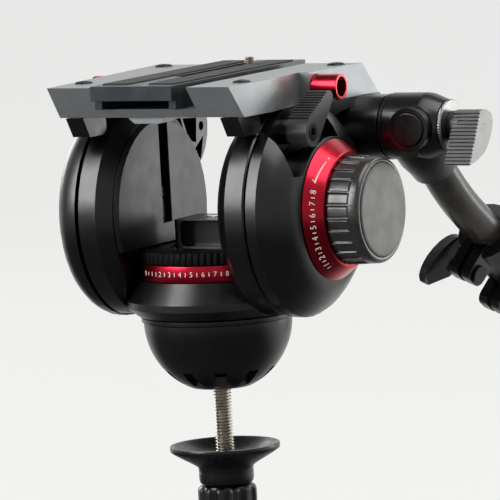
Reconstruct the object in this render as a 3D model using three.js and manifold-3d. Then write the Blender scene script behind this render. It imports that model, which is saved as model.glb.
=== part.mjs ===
// Fluid video head on a 75 mm levelling half ball, with tie-down knob and telescopic pan handle.
// Sizes are in millimetres. +Z is up along the pan axis, -Y is the front, and +X is the handle side.
// The origin is the centre of the half ball's sphere.
import * as THREE from 'three';
import { mergeVertices } from 'three/addons/utils/BufferGeometryUtils.js';
import Module from 'manifold-3d';

const wasm = await Module();
wasm.setup();

// Clearances
const seatGap = 0.3;
const runningGap = 0.8;
const overrun = 3;

// Half ball and its tie-down
const ballRadius = 37.5;
const ballDepth = 34.4;
const ballWall = 4.3;
const ballRimRadius = 38.6;
const ballRimHeight = 3;
const ballRimLip = 0.6;
const ballLedgeRadius = 27;
const ballLedgeThickness = 3;
const ballSlotCount = 10;
const ballSlotWidth = 6;
const ballSlotInnerRadius = 18.5;
const ballSlotOuterRadius = 29;
const ballSlotTopDepth = 24.5;
const ballSlotTurn = THREE.MathUtils.degToRad(11);
const studRadius = 4.75;
const studBossRadius = 9;
const studBossHeight = 14;
const studLength = 92;
const cupRimDepth = 64;
const cupRimRadius = 27.9;
const cupRimWidth = 2.2;
const cupRimThickness = 2.4;
const cupHeight = 20.3;
const cupDishDepth = 7;
const cupNeckRadius = 13.9;
const cupNeckHeight = 9.1;
const cupNeckChamfer = 2.8;
const tieKnobRadius = 15.1;
const tieKnobShoulder = 3;
const tieKnobLength = 78;
const tieKnobFluteRadius = 3.2;
const tieKnobFluteCount = 12;
const tieKnobBoreDepth = 60;

// Pan base and its bearing
const basePlateRadius = 30;
const spindleRadius = 12;
const spindleFlangeRadius = 20;
const spindleFlangeHeight = 5;
const spindleTop = 35;
const bearingInnerRadius = 14;
const bearingOuterRadius = 28;
const bearingHeight = 2.3;

// Yoke: the turned bowl and the two uprights
const tiltHeight = 55.5;
const bowlFootRadius = 40;
const bowlRadius = 46;
const bowlBellyHeight = 8.5;
const bowlShoulderHeight = 12;
const skirtTopHeight = 22.3;
const skirtTopRadius = 39.5;
const hubRadius = 22;
const hubSetback = 1.2;
const rotorRadius = 18.2;
const rotorHeight = 12;
const uprightInner = 28.2;
const uprightOuter = 47.3;
const uprightFaceRadius = 45.3;
const uprightRadius = 54;
const uprightEdgeBevel = 0.8;
const innerCoverThickness = 2;
const faceSlotWidth = 8.8;
const faceSlotDepth = 4;
const faceSlotBack = 3.8;
const faceSlotBottom = 48.4;
const webSlantTop = 31;
const webSlantBottom = 9;
const webSlantSide = 36.5;
const tiltAxleRadius = 7;
const tiltBearingRadius = 12;
const uprightWebThickness = 12.4;
const cartridgeRadius = 33;

// Pan drag parts and the housing over them
const panRingRadius = 39;
const panRingTopHeight = 31;
const panKnobRadius = 38.5;
const panKnobHeight = 6.2;
const panKnobTeeth = 36;
const panKnobToothDepth = 0.7;
const housingHalfWidth = 16.4;
const housingFront = -12;
const housingLength = 27;
const housingHeight = 14.9;
const housingCornerRadius = 2.5;
const housingFrame = 4.2;
const housingSill = 1.2;
const housingLintel = 0.8;
const pocketDepth = 8;
const levelRadius = 6;
const levelDepth = 4;
const levelProud = 0.3;
const levelInset = 18;
const panLeverHeight = 9.5;
const panLeverHubRadius = 7;
const panLeverThickness = 9;
const panLeverReach = 28;
const panLeverTipRadius = 4.5;
const panLeverDrop = 5;
const panLockSpindleRadius = 3.5;
const panLockSpindleLength = 15;

// Platform on top
const platformSink = 2;
const platformThickness = 16.1;
const platformFrontTop = -69;
const platformFrontBottom = -56;
const platformRearTop = 56;
const platformRearBottom = 70;
const platformHalfWidthFront = 51.5;
const platformHalfWidthRear = 60;
const platformDraft = 1;
const channelLeft = -27;
const channelRight = 27.5;
const channelClearance = 2.5;
const scoopFront = -32;
const scoopBack = 5;
const scoopDepth = 6;
const lipHalfWidth = 11;
const lipOffset = -4;
const lipHeight = 3.2;
const lipSlope = 4;
const lipFront = -54;
const lipLength = 14;

// Side arms, measured from the tilt axis
const armInner = 48.7;
const armOuter = 54.3;
const armFrontTop = -56.5;
const lobeCentreBack = 55;
const lobeDrop = 16;
const lobeRadius = 25;
const lobeInner = 45;
const lobeCut = 5;
const frontBlockInner = 39;
const frontBlockHeight = 10.2;
const frontBlockBack = -34;
const leftCoverFace = 63;
const leftCoverFaceRadius = 45;
const leftCoverEdge = 53;
const rightCoverFace = 69.8;
const rightCoverFaceRadius = 36.3;
const coverWebThickness = 3.6;
const gussetFront = 5;
const gussetFrontDrop = 14.5;
const gussetRearDrop = 2;
const handleBossRadius = 17;
const handleBossEnd = 75.5;
const leverRecessFace = 53.5;
const leverRecessFront = -36;
const leverRecessBack = 8.5;
const leverRecessBottom = 20;
const armScrewHeadRadius = 5;
const armScrewHeadHeight = 2.2;
const armScrewRadius = 2.2;
const armScrewSeatDepth = 1.4;
const frontScrewSide = 45;
const frontScrewBack = -44;
const rearScrewSide = 50;
const rearScrewBack = 46;
const armScrewReach = 8.5;

// Quick release: camera plate, jaw and the two red tubes
const plateWidth = 46;
const plateRearProud = 1;
const plateFootHeight = 5;
const plateThickness = 7.3;
const plateFootWidth = 4;
const plateFootSetback = 4;
const plateSlotWidth = 7;
const plateSlotFrontInset = 49;
const plateSlotRearInset = 11;
const padWidth = 14.5;
const padInset = 2.6;
const padEndInset = 8;
const padSink = 0.8;
const padThickness = 1.2;
const cameraScrewRadius = 3.1;
const cameraScrewHeadRadius = 8;
const cameraScrewHeadHeight = 3.2;
const cameraScrewInset = 17;
const cameraScrewProud = 3.3;
const jawThickness = 3.4;
const jawFront = -28;
const jawLength = 80;
const jawHeight = 9.5;
const tubeBack = 12;
const tubeRise = 3.7;
const tubeRadius = 6.5;
const tubeWall = 1.5;
const tubeEndWall = 3;
const tubeInnerEnd = 46.6;
const tubeOuterEnd = 71;
const jawRodRadius = 3.5;
const safetyPinRadius = 2.5;

// Tilt drag, lock and counterbalance
const scaleRingBaseRadius = 35.2;
const scaleRingTipRadius = 28.8;
const scaleRingDepth = 8.9;
const scaleRingBore = 20;
const tiltKnobBaseRadius = 27.6;
const tiltKnobTipRadius = 26.4;
const tiltKnobDepth = 17.4;
const tiltKnobEdge = 1.2;
const tiltKnobStemRadius = 12;
const tiltKnobGrooves = 25;
const tiltKnobGrooveWidth = 2.6;
const tiltKnobGrooveDepth = 1.3;
const tiltKnobGrooveLength = 12;
const tiltCapRadius = 23.4;
const tiltCapThickness = 2;
const tiltCapProud = 0.7;
const tiltLeverBack = -20.5;
const tiltLeverDrop = 11;
const tiltLeverHubRadius = 7.6;
const tiltLeverTipRadius = 3.4;
const tiltLeverReach = 24.5;
const tiltLeverAngle = 0.67;
const tiltLeverInner = 60;
const tiltLeverOuter = 71;
const tiltLeverRibs = 11;
const tiltLeverRibHeight = 0.9;
const tiltBarrelRadius = 6.3;
const tiltLockSpindleRadius = 4;
const tiltLockScrewRadius = 4.2;
const tiltLockScrewHeight = 2.8;
const hexKeyRadius = 2.2;
const hexKeyDepth = 2;
const dialRadius = 30;
const dialThickness = 6.5;
const dialDrop = 11;
const dialFlutes = 24;
const armWebInset = 1.5;
const dialFluteDepth = 1.4;

// Handle joint, measured from the handle's swing axis
const rosetteOuterRadius = 16.5;
const rosetteInnerRadius = 8;
const rosetteThickness = 2.2;
const headRadius = 17;
const headLength = 18.6;
const headCoverLength = 10.4;
const headCoverTipRadius = 13.4;
const headPlugSide = 94.5;
const headPlugBossRadius = 11;
const headPlugRadius = 8.6;
const headPlugBossFront = 19;
const headPlugSeatDepth = 2.5;
const headPlugProud = 1.2;
const headDomeSide = 89;
const headDomeRadius = 16.6;
const headDomeLength = 30;
const headDomeEndRadius = 11.6;
const clampRosetteThickness = 2;
const clampRosetteRadius = 13.4;
const clampBoltRadius = 4;
const clampHubRadius = 7.6;
const clampHubLength = 3.4;
const clampLeverWidth = 14.5;
const clampLeverDrop = 18.2;
const clampLeverRibs = 15;
const clampLeverRibHeight = 0.8;

// Handle tubes
const handleSide = 90;
const handleRadius = 9.4;
const handleWall = 2;
const handleStartBack = 8;
const handleStartDrop = 10.5;
const handleBendBack = 54;
const handleBendDrop = 51.2;
const handleEndAngle = 0.5585;
const handleTailLength = 142;
const lowerTubeRadius = 12.5;
const lowerTubeStart = 23;
const lowerTubeLength = 198;
const collarRadius = 15.6;
const collarStart = 20;
const collarLength = 54;
const collarRollAngle = 0.3578;
const collarLugHalfWidth = 6.8;
const collarLugDrop = 27.2;
const collarLugStart = -3.5;
const collarLugLength = 15;
const collarRearLugStart = 34;
const collarSlot = 2.4;
const collarBoltDrop = 21.9;
const collarBoltRadius = 2.8;
const collarBarrelRadius = 5;
const collarBarrelLength = 1.4;
const collarBoltGrip = 6;
const collarKnobNeckRadius = 5.5;
const collarKnobNeckLength = 1.9;
const collarKnobRise = 6.6;
const collarKnobWing = 17;
const collarKnobWingWidth = 15;
const collarKnobWingThickness = 3.6;
const collarKnobCrown = 1.8;
const collarKnobTurnAngle = -0.31;
const collarKnobGusset = 7.4;
const gripRadius = 15.4;
const gripSetback = 82;
const gripTailInset = 4;
const endCapRadius = 15;
const endCapLength = 6;
const endCapPlugDepth = 8;

// Facets round a full turn
const finestSides = 44;
const fineSides = 40;
const middleSides = 32;
const smallSides = 24;
const coarseSides = 16;

// Places and sizes that follow from the ones above
const yokeBottom = ballRimHeight + seatGap + seatGap;
const studBore = studRadius + seatGap;
const spindleBore = spindleRadius + seatGap;
const panRingBottom = skirtTopHeight + seatGap;
const panKnobBottom = panRingTopHeight + seatGap;
const panKnobTop = panKnobBottom + panKnobHeight;
const hubTopHeight = panKnobTop - hubSetback;
const housingBottom = hubTopHeight + seatGap;
const housingTop = housingBottom + housingHeight;
const panKnobClearRadius = panRingRadius + runningGap;
const uprightBodyInner = uprightInner + innerCoverThickness + seatGap;
const uprightRimInner = uprightInner + uprightRadius - uprightFaceRadius;
const pocketFloorX = uprightInner + uprightWebThickness + innerCoverThickness;
const axleBore = tiltAxleRadius + seatGap;
const tiltSweepRadius = uprightRadius + runningGap;
const platformBottom = uprightRadius - platformSink;
const platformTop = platformBottom + platformThickness;
const channelFloor = uprightRadius + channelClearance;
const lobeCentreUp = platformBottom - lobeDrop;
const frontBlockBottom = platformBottom - frontBlockHeight;
const gussetFrontUp = platformBottom - gussetFrontDrop;
const gussetRearUp = platformBottom - gussetRearDrop;
const screwTipUp = platformBottom - armScrewReach;
const plateUnderside = channelFloor + plateFootHeight;
const plateTop = plateUnderside + plateThickness;
const jawTop = channelFloor + jawHeight;
const tubeUp = channelFloor + tubeRise;
const tiltLeverUp = platformBottom - tiltLeverDrop;
const plateLeft = channelLeft + seatGap;
const plateRight = plateLeft + plateWidth;
const plateMiddle = plateLeft + plateWidth / 2;
const plateFront = platformFrontTop;
const plateRear = platformRearBottom + plateRearProud;
const cameraScrewBack = plateRear - cameraScrewInset;
const coverBoreRadius = cartridgeRadius + runningGap;
const tiltKnobStart = rightCoverFace + seatGap + scaleRingDepth + seatGap;
const tiltKnobEnd = tiltKnobStart + tiltKnobDepth;
const rosetteStart = handleBossEnd + seatGap;
const headStart = rosetteStart + rosetteThickness + seatGap;
const headEnd = headStart + headLength;
const headCoverStart = headEnd + seatGap;
const headCoverEnd = headCoverStart + headCoverLength;
const clampRosetteStart = headCoverEnd + seatGap;
const clampHubStart = clampRosetteStart + clampRosetteThickness + seatGap;
const clampLeverStart = clampHubStart + clampHubLength;
const clampBoltBore = clampBoltRadius + seatGap;

// Finishes
const finish = (color, roughness, metalness) => new THREE.MeshStandardMaterial({
  color,
  roughness,
  metalness,
  flatShading: true,
});
const satinBlack = finish(0x17191a, 0.45, 0.2);
const greyAnodised = finish(0x8a8d8d, 0.4, 0.9);
const redAnodised = finish(0xb00a26, 0.25, 0.8);
const steel = finish(0xb4b2ac, 0.3, 1);
const rubber = finish(0x2b2d2c, 0.8, 0);
const leverGrey = finish(0x4e5250, 0.5, 0.1);
const capGrey = finish(0x777872, 0.55, 0.1);
const bronze = finish(0x8c6b3e, 0.4, 0.9);
const levelGreen = finish(0x9bbf4a, 0.1, 0);

// Solids: every helper returns a closed BufferGeometry
function outward(geometry) {
  const at = geometry.attributes.position;
  const index = geometry.index;
  const a = new THREE.Vector3();
  const b = new THREE.Vector3();
  const c = new THREE.Vector3();
  let volume = 0;
  for (let i = 0; i < index.count; i += 3) {
    a.fromBufferAttribute(at, index.getX(i));
    b.fromBufferAttribute(at, index.getX(i + 1));
    c.fromBufferAttribute(at, index.getX(i + 2));
    volume += a.dot(b.cross(c));
  }
  if (volume < 0) {
    for (let i = 0; i < index.count; i += 3) {
      const first = index.getX(i);
      index.setX(i, index.getX(i + 1));
      index.setX(i + 1, first);
    }
  }
  return geometry;
}

function welded(geometry) {
  const bare = geometry.clone();
  bare.deleteAttribute('normal');
  bare.deleteAttribute('uv');
  const merged = mergeVertices(bare);
  const kept = [];
  const corners = merged.index.array;
  for (let i = 0; i < corners.length; i += 3) {
    const [a, b, c] = [corners[i], corners[i + 1], corners[i + 2]];
    if (a !== b && b !== c && c !== a) kept.push(a, b, c);
  }
  merged.setIndex(kept);
  return outward(merged);
}

function solidOf(geometry) {
  const clean = welded(geometry);
  return new wasm.Manifold(new wasm.Mesh({
    numProp: 3,
    vertProperties: new Float32Array(clean.attributes.position.array),
    triVerts: new Uint32Array(clean.index.array),
  }));
}

function geometryOf(solid) {
  const mesh = solid.getMesh();
  const geometry = new THREE.BufferGeometry();
  geometry.setAttribute('position', new THREE.BufferAttribute(new Float32Array(mesh.vertProperties), 3));
  geometry.setIndex(new THREE.BufferAttribute(new Uint32Array(mesh.triVerts), 1));
  return geometry;
}

const join = (...pieces) => geometryOf(pieces.map(solidOf).reduce((sum, piece) => sum.add(piece)));

const common = (body, limits) => geometryOf(solidOf(body).intersect(solidOf(limits)));

function cut(body, ...tools) {
  return geometryOf(tools.map(solidOf).reduce((rest, tool) => rest.subtract(tool), solidOf(body)));
}

// The outline holds [radius, height] pairs and turns about the named axis
function turned(outline, sides, axis) {
  const points = outline.map(([radius, height]) => new THREE.Vector2(radius, height));
  const onAxis = points[0].x === 0;
  if (!onAxis) points.push(points[0].clone());
  const geometry = new THREE.LatheGeometry(points, sides);
  if (axis === 'z') geometry.rotateX(Math.PI / 2);
  if (axis === 'x') geometry.rotateZ(-Math.PI / 2);
  return welded(geometry);
}

const ring = (inner, outer, from, to, sides, axis) => turned(
  [[inner, from], [outer, from], [outer, to], [inner, to]],
  sides,
  axis,
);

const rod = (radius, from, to, sides, axis) => turned(
  [[0, from], [radius, from], [radius, to], [0, to]],
  sides,
  axis,
);

// Extrudes a flat shape between two places along an axis. The shape lies in the other two axes.
function slab(shape, axis, from, to, curveSegments = 8) {
  const geometry = new THREE.ExtrudeGeometry(shape, {
    depth: to - from,
    bevelEnabled: false,
    curveSegments,
  });
  geometry.translate(0, 0, from);
  const x = new THREE.Vector3(1, 0, 0);
  const y = new THREE.Vector3(0, 1, 0);
  const z = new THREE.Vector3(0, 0, 1);
  if (axis === 'x') geometry.applyMatrix4(new THREE.Matrix4().makeBasis(y, z, x));
  if (axis === 'y') geometry.applyMatrix4(new THREE.Matrix4().makeBasis(x, z, y));
  return welded(geometry);
}

const polygon = (corners) => new THREE.Shape(corners.map(([u, v]) => new THREE.Vector2(u, v)));

const block = (x0, x1, y0, y1, z0, z1) => slab(
  polygon([[x0, y0], [x1, y0], [x1, y1], [x0, y1]]),
  'z',
  z0,
  z1,
);

const moved = (geometry, x, y, z) => geometry.clone().translate(x, y, z);

function mirrored(geometry) {
  return welded(geometry.clone().scale(-1, 1, 1));
}

function roundedRectangle(u0, v0, u1, v1, radius) {
  const shape = new THREE.Shape();
  shape.absarc(u1 - radius, v0 + radius, radius, -Math.PI / 2, 0, false);
  shape.absarc(u1 - radius, v1 - radius, radius, 0, Math.PI / 2, false);
  shape.absarc(u0 + radius, v1 - radius, radius, Math.PI / 2, Math.PI, false);
  shape.absarc(u0 + radius, v0 + radius, radius, Math.PI, 1.5 * Math.PI, false);
  return shape;
}

// Two circles and their outer tangents, as a lever seen along its pivot
function leverShape(u, v, hubRadius, tipU, tipV, tipRadius) {
  const angle = Math.atan2(tipV - v, tipU - u);
  const reach = Math.hypot(tipU - u, tipV - v);
  const lean = Math.acos((hubRadius - tipRadius) / reach);
  const shape = new THREE.Shape();
  shape.absarc(u, v, hubRadius, angle + lean, angle - lean + 2 * Math.PI, false);
  shape.absarc(tipU, tipV, tipRadius, angle - lean, angle + lean, false);
  return shape;
}

// A round outline with flat-bottomed notches of equal width
function notchedShape(radius, depth, count, landShare) {
  const corners = [];
  for (let k = 0; k < count; k += 1) {
    const start = (2 * Math.PI * k) / count;
    const land = (2 * Math.PI * landShare) / count;
    const step = (2 * Math.PI) / count;
    for (const angle of [start, start + land]) {
      corners.push([radius * Math.cos(angle), radius * Math.sin(angle)]);
    }
    for (const angle of [start + land, start + step]) {
      corners.push([(radius - depth) * Math.cos(angle), (radius - depth) * Math.sin(angle)]);
    }
  }
  return polygon(corners);
}

function arcPoints(radius, fromAngle, toAngle, steps) {
  const points = [];
  for (let k = 0; k <= steps; k += 1) {
    const angle = fromAngle + ((toAngle - fromAngle) * k) / steps;
    points.push([radius * Math.cos(angle), radius * Math.sin(angle)]);
  }
  return points;
}

const head = new THREE.Group();

function addPart(group, name, geometry, material) {
  const mesh = new THREE.Mesh(geometry, material);
  mesh.name = name;
  group.add(mesh);
  return mesh;
}

// Half ball: a hollow cup with ten drain slots round its flat foot
function halfBall() {
  const outerArc = arcPoints(ballRadius, -Math.asin(ballDepth / ballRadius), 0, 6);
  const innerRadius = ballRadius - ballWall;
  const innerDepth = ballDepth - ballWall;
  const innerArc = arcPoints(
    innerRadius,
    -Math.asin(ballLedgeThickness / innerRadius),
    -Math.asin(innerDepth / innerRadius),
    3,
  );
  const seatRadius = basePlateRadius + seatGap;
  const shell = turned([
    [0, -ballDepth],
    ...outerArc,
    [ballRimRadius, ballRimLip],
    [ballRimRadius, ballRimHeight],
    [seatRadius, ballRimHeight],
    [seatRadius, 0],
    [ballLedgeRadius, 0],
    [ballLedgeRadius, -ballLedgeThickness],
    ...innerArc,
    [0, -innerDepth],
  ], middleSides, 'z');
  const bossTop = studBossHeight - innerDepth;
  const boss = rod(studBossRadius, -innerDepth - seatGap, bossTop, coarseSides, 'z');
  const bore = rod(studBore, -ballDepth - overrun, bossTop + overrun, coarseSides, 'z');
  const slots = [];
  for (let k = 0; k < ballSlotCount; k += 1) {
    const slot = block(
      ballSlotInnerRadius,
      ballSlotOuterRadius,
      -ballSlotWidth / 2,
      ballSlotWidth / 2,
      -ballDepth - overrun,
      -ballSlotTopDepth,
    );
    slots.push(slot.rotateZ(ballSlotTurn + (2 * Math.PI * k) / ballSlotCount));
  }
  return cut(join(shell, boss), bore, ...slots);
}

// Tie-down cup: its dish bears on the underside of the tripod's bowl
function tieDownCup() {
  const bottom = -cupRimDepth - cupHeight;
  const flare = cupRimRadius - cupNeckRadius;
  const neckTop = bottom + cupNeckHeight;
  const rimBottom = -cupRimDepth - cupRimThickness;
  const sweepHeight = rimBottom - neckTop;
  const underShares = [[0.3, 0.3], [0.8, 0.76]];
  const dishShares = [[0.78, 0.5], [0.45, 0.92]];
  const dishRadius = cupRimRadius - cupRimWidth;
  return turned([
    [studBore, bottom],
    [cupNeckRadius - cupNeckChamfer, bottom],
    [cupNeckRadius - cupNeckChamfer / 8, bottom + cupNeckChamfer * 0.7],
    [cupNeckRadius, neckTop],
    ...underShares.map(([out, up]) => [cupNeckRadius + flare * out, neckTop + sweepHeight * up]),
    [cupRimRadius, rimBottom],
    [cupRimRadius, -cupRimDepth],
    [dishRadius, -cupRimDepth],
    ...dishShares.map(([out, down]) => [dishRadius * out, -cupRimDepth - cupDishDepth * down]),
    [studBore, -cupRimDepth - cupDishDepth],
  ], middleSides, 'z');
}

// Tie-down knob: a long fluted grip that runs on the stud
function tieDownKnob() {
  const top = -cupRimDepth - cupHeight - seatGap;
  const bottom = top - tieKnobLength;
  const shoulder = tieKnobShoulder;
  const edge = shoulder * 0.3;
  const grip = turned([
    [0, bottom],
    [tieKnobRadius - shoulder, bottom],
    [tieKnobRadius - edge, bottom + edge],
    [tieKnobRadius, bottom + shoulder],
    [tieKnobRadius, top - shoulder],
    [tieKnobRadius - edge, top - edge],
    [tieKnobRadius - shoulder, top],
    [0, top],
  ], smallSides, 'z');
  const flutes = [];
  const fluteBottom = bottom + tieKnobRadius / 2;
  for (let k = 0; k < tieKnobFluteCount; k += 1) {
    const flute = rod(tieKnobFluteRadius, fluteBottom, top + overrun, 8, 'z');
    const angle = (2 * Math.PI * k) / tieKnobFluteCount;
    const out = tieKnobRadius + tieKnobFluteRadius / 2;
    flutes.push(flute.translate(out * Math.cos(angle), out * Math.sin(angle), 0));
  }
  const bore = rod(studBore, top - tieKnobBoreDepth, top + overrun, coarseSides, 'z');
  return cut(grip, ...flutes, bore);
}

const studTop = studBossHeight - ballDepth + ballWall;
addPart(head, 'half_ball', halfBall(), satinBlack);
addPart(head, 'tie_down_stud', rod(studRadius, studTop - studLength, studTop, coarseSides, 'z'), steel);
addPart(head, 'tie_down_cup', tieDownCup(), satinBlack);
addPart(head, 'tie_down_knob', tieDownKnob(), satinBlack);

// Pan base: a plate let into the ball, and the spindle that the yoke turns on
addPart(
  head,
  'pan_base_plate',
  ring(spindleBore, basePlateRadius, seatGap, ballRimHeight, middleSides, 'z'),
  greyAnodised,
);
addPart(head, 'pan_spindle', turned([
  [0, -spindleFlangeHeight],
  [spindleFlangeRadius, -spindleFlangeHeight],
  [spindleFlangeRadius, 0],
  [spindleRadius, 0],
  [spindleRadius, spindleTop],
  [0, spindleTop],
], smallSides, 'z'), steel);
const bearingBottom = ballRimHeight + seatGap;
addPart(
  head,
  'pan_bearing',
  ring(bearingInnerRadius, bearingOuterRadius, bearingBottom, bearingBottom + bearingHeight, smallSides, 'z'),
  bronze,
);
const rotorBottom = hubTopHeight - seatGap - rotorHeight;
addPart(
  head,
  'pan_drag_rotor',
  ring(spindleBore, rotorRadius, rotorBottom, rotorBottom + rotorHeight, smallSides, 'z'),
  steel,
);

// Yoke: bowl, hub and the two round uprights
function uprightBody() {
  const bodyRadius = uprightFaceRadius + uprightBodyInner - uprightInner;
  const outside = turned([
    [0, uprightBodyInner],
    [bodyRadius, uprightBodyInner],
    [uprightRadius, uprightRimInner],
    [uprightRadius, uprightOuter - uprightEdgeBevel],
    [uprightRadius - uprightEdgeBevel, uprightOuter],
    [0, uprightOuter],
  ], finestSides, 'x');
  const bore = rod(tiltBearingRadius + seatGap, uprightInner, uprightOuter, smallSides, 'x');
  const pocket = rod(cartridgeRadius + seatGap, pocketFloorX, uprightOuter + overrun, middleSides, 'x');
  return moved(cut(outside, bore, pocket), 0, 0, tiltHeight);
}

function yokeBody() {
  const bearingCeiling = bearingBottom + bearingHeight + seatGap;
  const bearingRecess = bearingOuterRadius + seatGap;
  const rotorBore = rotorRadius + seatGap;
  const bowl = turned([
    [0, yokeBottom],
    [bowlFootRadius, yokeBottom],
    [bowlRadius, bowlBellyHeight],
    [bowlRadius, bowlShoulderHeight],
    [skirtTopRadius, skirtTopHeight],
    [hubRadius, skirtTopHeight],
    [hubRadius, hubTopHeight],
    [0, hubTopHeight],
  ], fineSides, 'z');
  const right = uprightBody();
  const reach = uprightOuter + overrun;
  const deep = uprightRadius + overrun;
  const knobSpace = ring(
    hubRadius + seatGap,
    panKnobClearRadius,
    skirtTopHeight,
    panKnobTop + runningGap,
    fineSides,
    'z',
  );
  const belowBowl = block(-reach, reach, -deep, deep, -deep, yokeBottom + runningGap);
  const slantTool = slab(polygon([
    [-uprightInner, webSlantTop],
    [-webSlantSide, webSlantBottom],
    [webSlantSide, webSlantBottom],
    [uprightInner, webSlantTop],
  ]), 'y', -deep, deep);
  const footTool = block(-webSlantSide, webSlantSide, -deep, deep, yokeBottom, webSlantBottom);
  const recessTool = rod(bearingRecess, yokeBottom - overrun, bearingCeiling, smallSides, 'z');
  const spindleTool = rod(spindleBore, yokeBottom, hubTopHeight, smallSides, 'z');
  const rotorTool = rod(rotorBore, rotorBottom - seatGap, hubTopHeight + overrun, smallSides, 'z');
  const slotTop = tiltHeight + deep;
  const slotTool = block(
    uprightBodyInner - overrun,
    uprightBodyInner + faceSlotDepth,
    faceSlotBack - faceSlotWidth / 2,
    faceSlotBack + faceSlotWidth / 2,
    faceSlotBottom,
    slotTop,
  );
  const lockBore = moved(
    rod(panLockSpindleRadius + seatGap, bowlRadius - panLockSpindleLength - seatGap, deep, coarseSides, 'y'),
    0,
    0,
    panLeverHeight,
  );
  const uprights = [right, mirrored(right)].map(
    (upright) => cut(upright, knobSpace, belowBowl, slantTool, footTool),
  );
  const slots = [slotTool, mirrored(slotTool)];
  return cut(join(bowl, ...uprights), recessTool, spindleTool, rotorTool, lockBore, ...slots);
}

function innerCover() {
  const edge = uprightFaceRadius + innerCoverThickness;
  const disc = moved(turned([
    [0, uprightInner],
    [uprightFaceRadius, uprightInner],
    [edge, uprightInner + innerCoverThickness],
    [0, uprightInner + innerCoverThickness],
  ], finestSides, 'x'), 0, 0, tiltHeight);
  const deep = uprightRadius + overrun;
  const outer = uprightInner + innerCoverThickness + overrun;
  const inner = uprightInner - overrun;
  const lower = block(inner, outer, -deep, deep, tiltHeight - deep, panKnobTop + runningGap);
  const slot = block(
    inner,
    outer,
    faceSlotBack - faceSlotWidth / 2,
    faceSlotBack + faceSlotWidth / 2,
    faceSlotBottom,
    tiltHeight + deep,
  );
  return cut(disc, lower, slot);
}

// Housing on the hub, with a blind pocket in its front and the level in its top
const levelBack = housingFront + levelInset;
function panHousing() {
  const outline = roundedRectangle(
    -housingHalfWidth,
    housingFront,
    housingHalfWidth,
    housingFront + housingLength,
    housingCornerRadius,
  );
  const body = slab(outline, 'z', housingBottom, housingTop, 4);
  const pocket = slab(roundedRectangle(
    housingFrame - housingHalfWidth,
    housingBottom + housingSill,
    housingHalfWidth - housingFrame,
    housingTop - housingLintel,
    housingCornerRadius,
  ), 'y', housingFront - overrun, housingFront + pocketDepth, 4);
  const levelSeat = moved(
    rod(levelRadius + seatGap, housingTop - levelDepth, housingTop + overrun, coarseSides, 'z'),
    0,
    levelBack,
    0,
  );
  return cut(body, pocket, levelSeat);
}

function panDragKnob() {
  const outline = notchedShape(panKnobRadius, panKnobToothDepth, panKnobTeeth, 0.5);
  const body = slab(outline, 'z', panKnobBottom, panKnobBottom + panKnobHeight);
  const bore = rod(hubRadius + seatGap, panKnobBottom - overrun, hubTopHeight + overrun, middleSides, 'z');
  return cut(body, bore);
}

function panLockLever() {
  const inner = bowlRadius + seatGap;
  const blade = slab(
    leverShape(
      0,
      panLeverHeight,
      panLeverHubRadius,
      -panLeverReach,
      panLeverHeight - panLeverDrop,
      panLeverTipRadius,
    ),
    'y',
    inner,
    inner + panLeverThickness,
    6,
  );
  const spindle = rod(panLockSpindleRadius, bowlRadius - panLockSpindleLength, inner + seatGap, coarseSides, 'y');
  return join(blade, moved(spindle, 0, 0, panLeverHeight));
}

addPart(head, 'yoke', yokeBody(), satinBlack);
addPart(head, 'right_inner_cover', innerCover(), satinBlack);
addPart(head, 'left_inner_cover', mirrored(innerCover()), satinBlack);
addPart(head, 'pan_housing', panHousing(), satinBlack);
const levelBottom = housingTop - levelDepth + seatGap;
addPart(
  head,
  'bubble_level',
  moved(rod(levelRadius, levelBottom, housingTop + levelProud, coarseSides, 'z'), 0, levelBack, 0),
  levelGreen,
);
addPart(
  head,
  'pan_scale_ring',
  ring(hubRadius + seatGap, panRingRadius, panRingBottom, panRingTopHeight, fineSides, 'z'),
  redAnodised,
);
addPart(head, 'pan_drag_knob', panDragKnob(), rubber);
addPart(head, 'pan_lock_lever', panLockLever(), leverGrey);

// Drag unit, counterbalance drum and bearings sit in the uprights, on the tilt axis
const axisGroup = new THREE.Group();
axisGroup.position.z = tiltHeight;
head.add(axisGroup);
const cartridgeStart = pocketFloorX + seatGap;
const bearingStart = uprightBodyInner + seatGap;
const tiltBearing = ring(axleBore, tiltBearingRadius, bearingStart, pocketFloorX, smallSides, 'x');
const rightWebInner = rightCoverFace - coverWebThickness;
const leftWebInner = leftCoverFace - coverWebThickness;
addPart(axisGroup, 'tilt_bearing_right', tiltBearing, bronze);
addPart(axisGroup, 'tilt_bearing_left', mirrored(tiltBearing), bronze);
addPart(
  axisGroup,
  'tilt_drag_cartridge',
  ring(axleBore, cartridgeRadius, cartridgeStart, rightWebInner - runningGap, smallSides, 'x'),
  greyAnodised,
);
addPart(
  axisGroup,
  'counterbalance_drum',
  mirrored(ring(axleBore, cartridgeRadius, cartridgeStart, leftWebInner - runningGap, smallSides, 'x')),
  steel,
);

// Tilting frame: everything in this group turns about the X axis through its origin
const tilt = new THREE.Group();
tilt.position.z = tiltHeight;
head.add(tilt);

// Half width of the platform's underside or top at a place along its length
function platformHalfWidth(back, front, rear, spread) {
  const share = (back - front) / (rear - front);
  return platformHalfWidthFront + spread + (platformHalfWidthRear - platformHalfWidthFront) * share;
}
const sideAtBottom = (back) => platformHalfWidth(back, platformFrontBottom, platformRearBottom, platformDraft);
const sideAtTop = (back) => platformHalfWidth(back, platformFrontTop, platformRearTop, 0);

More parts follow.
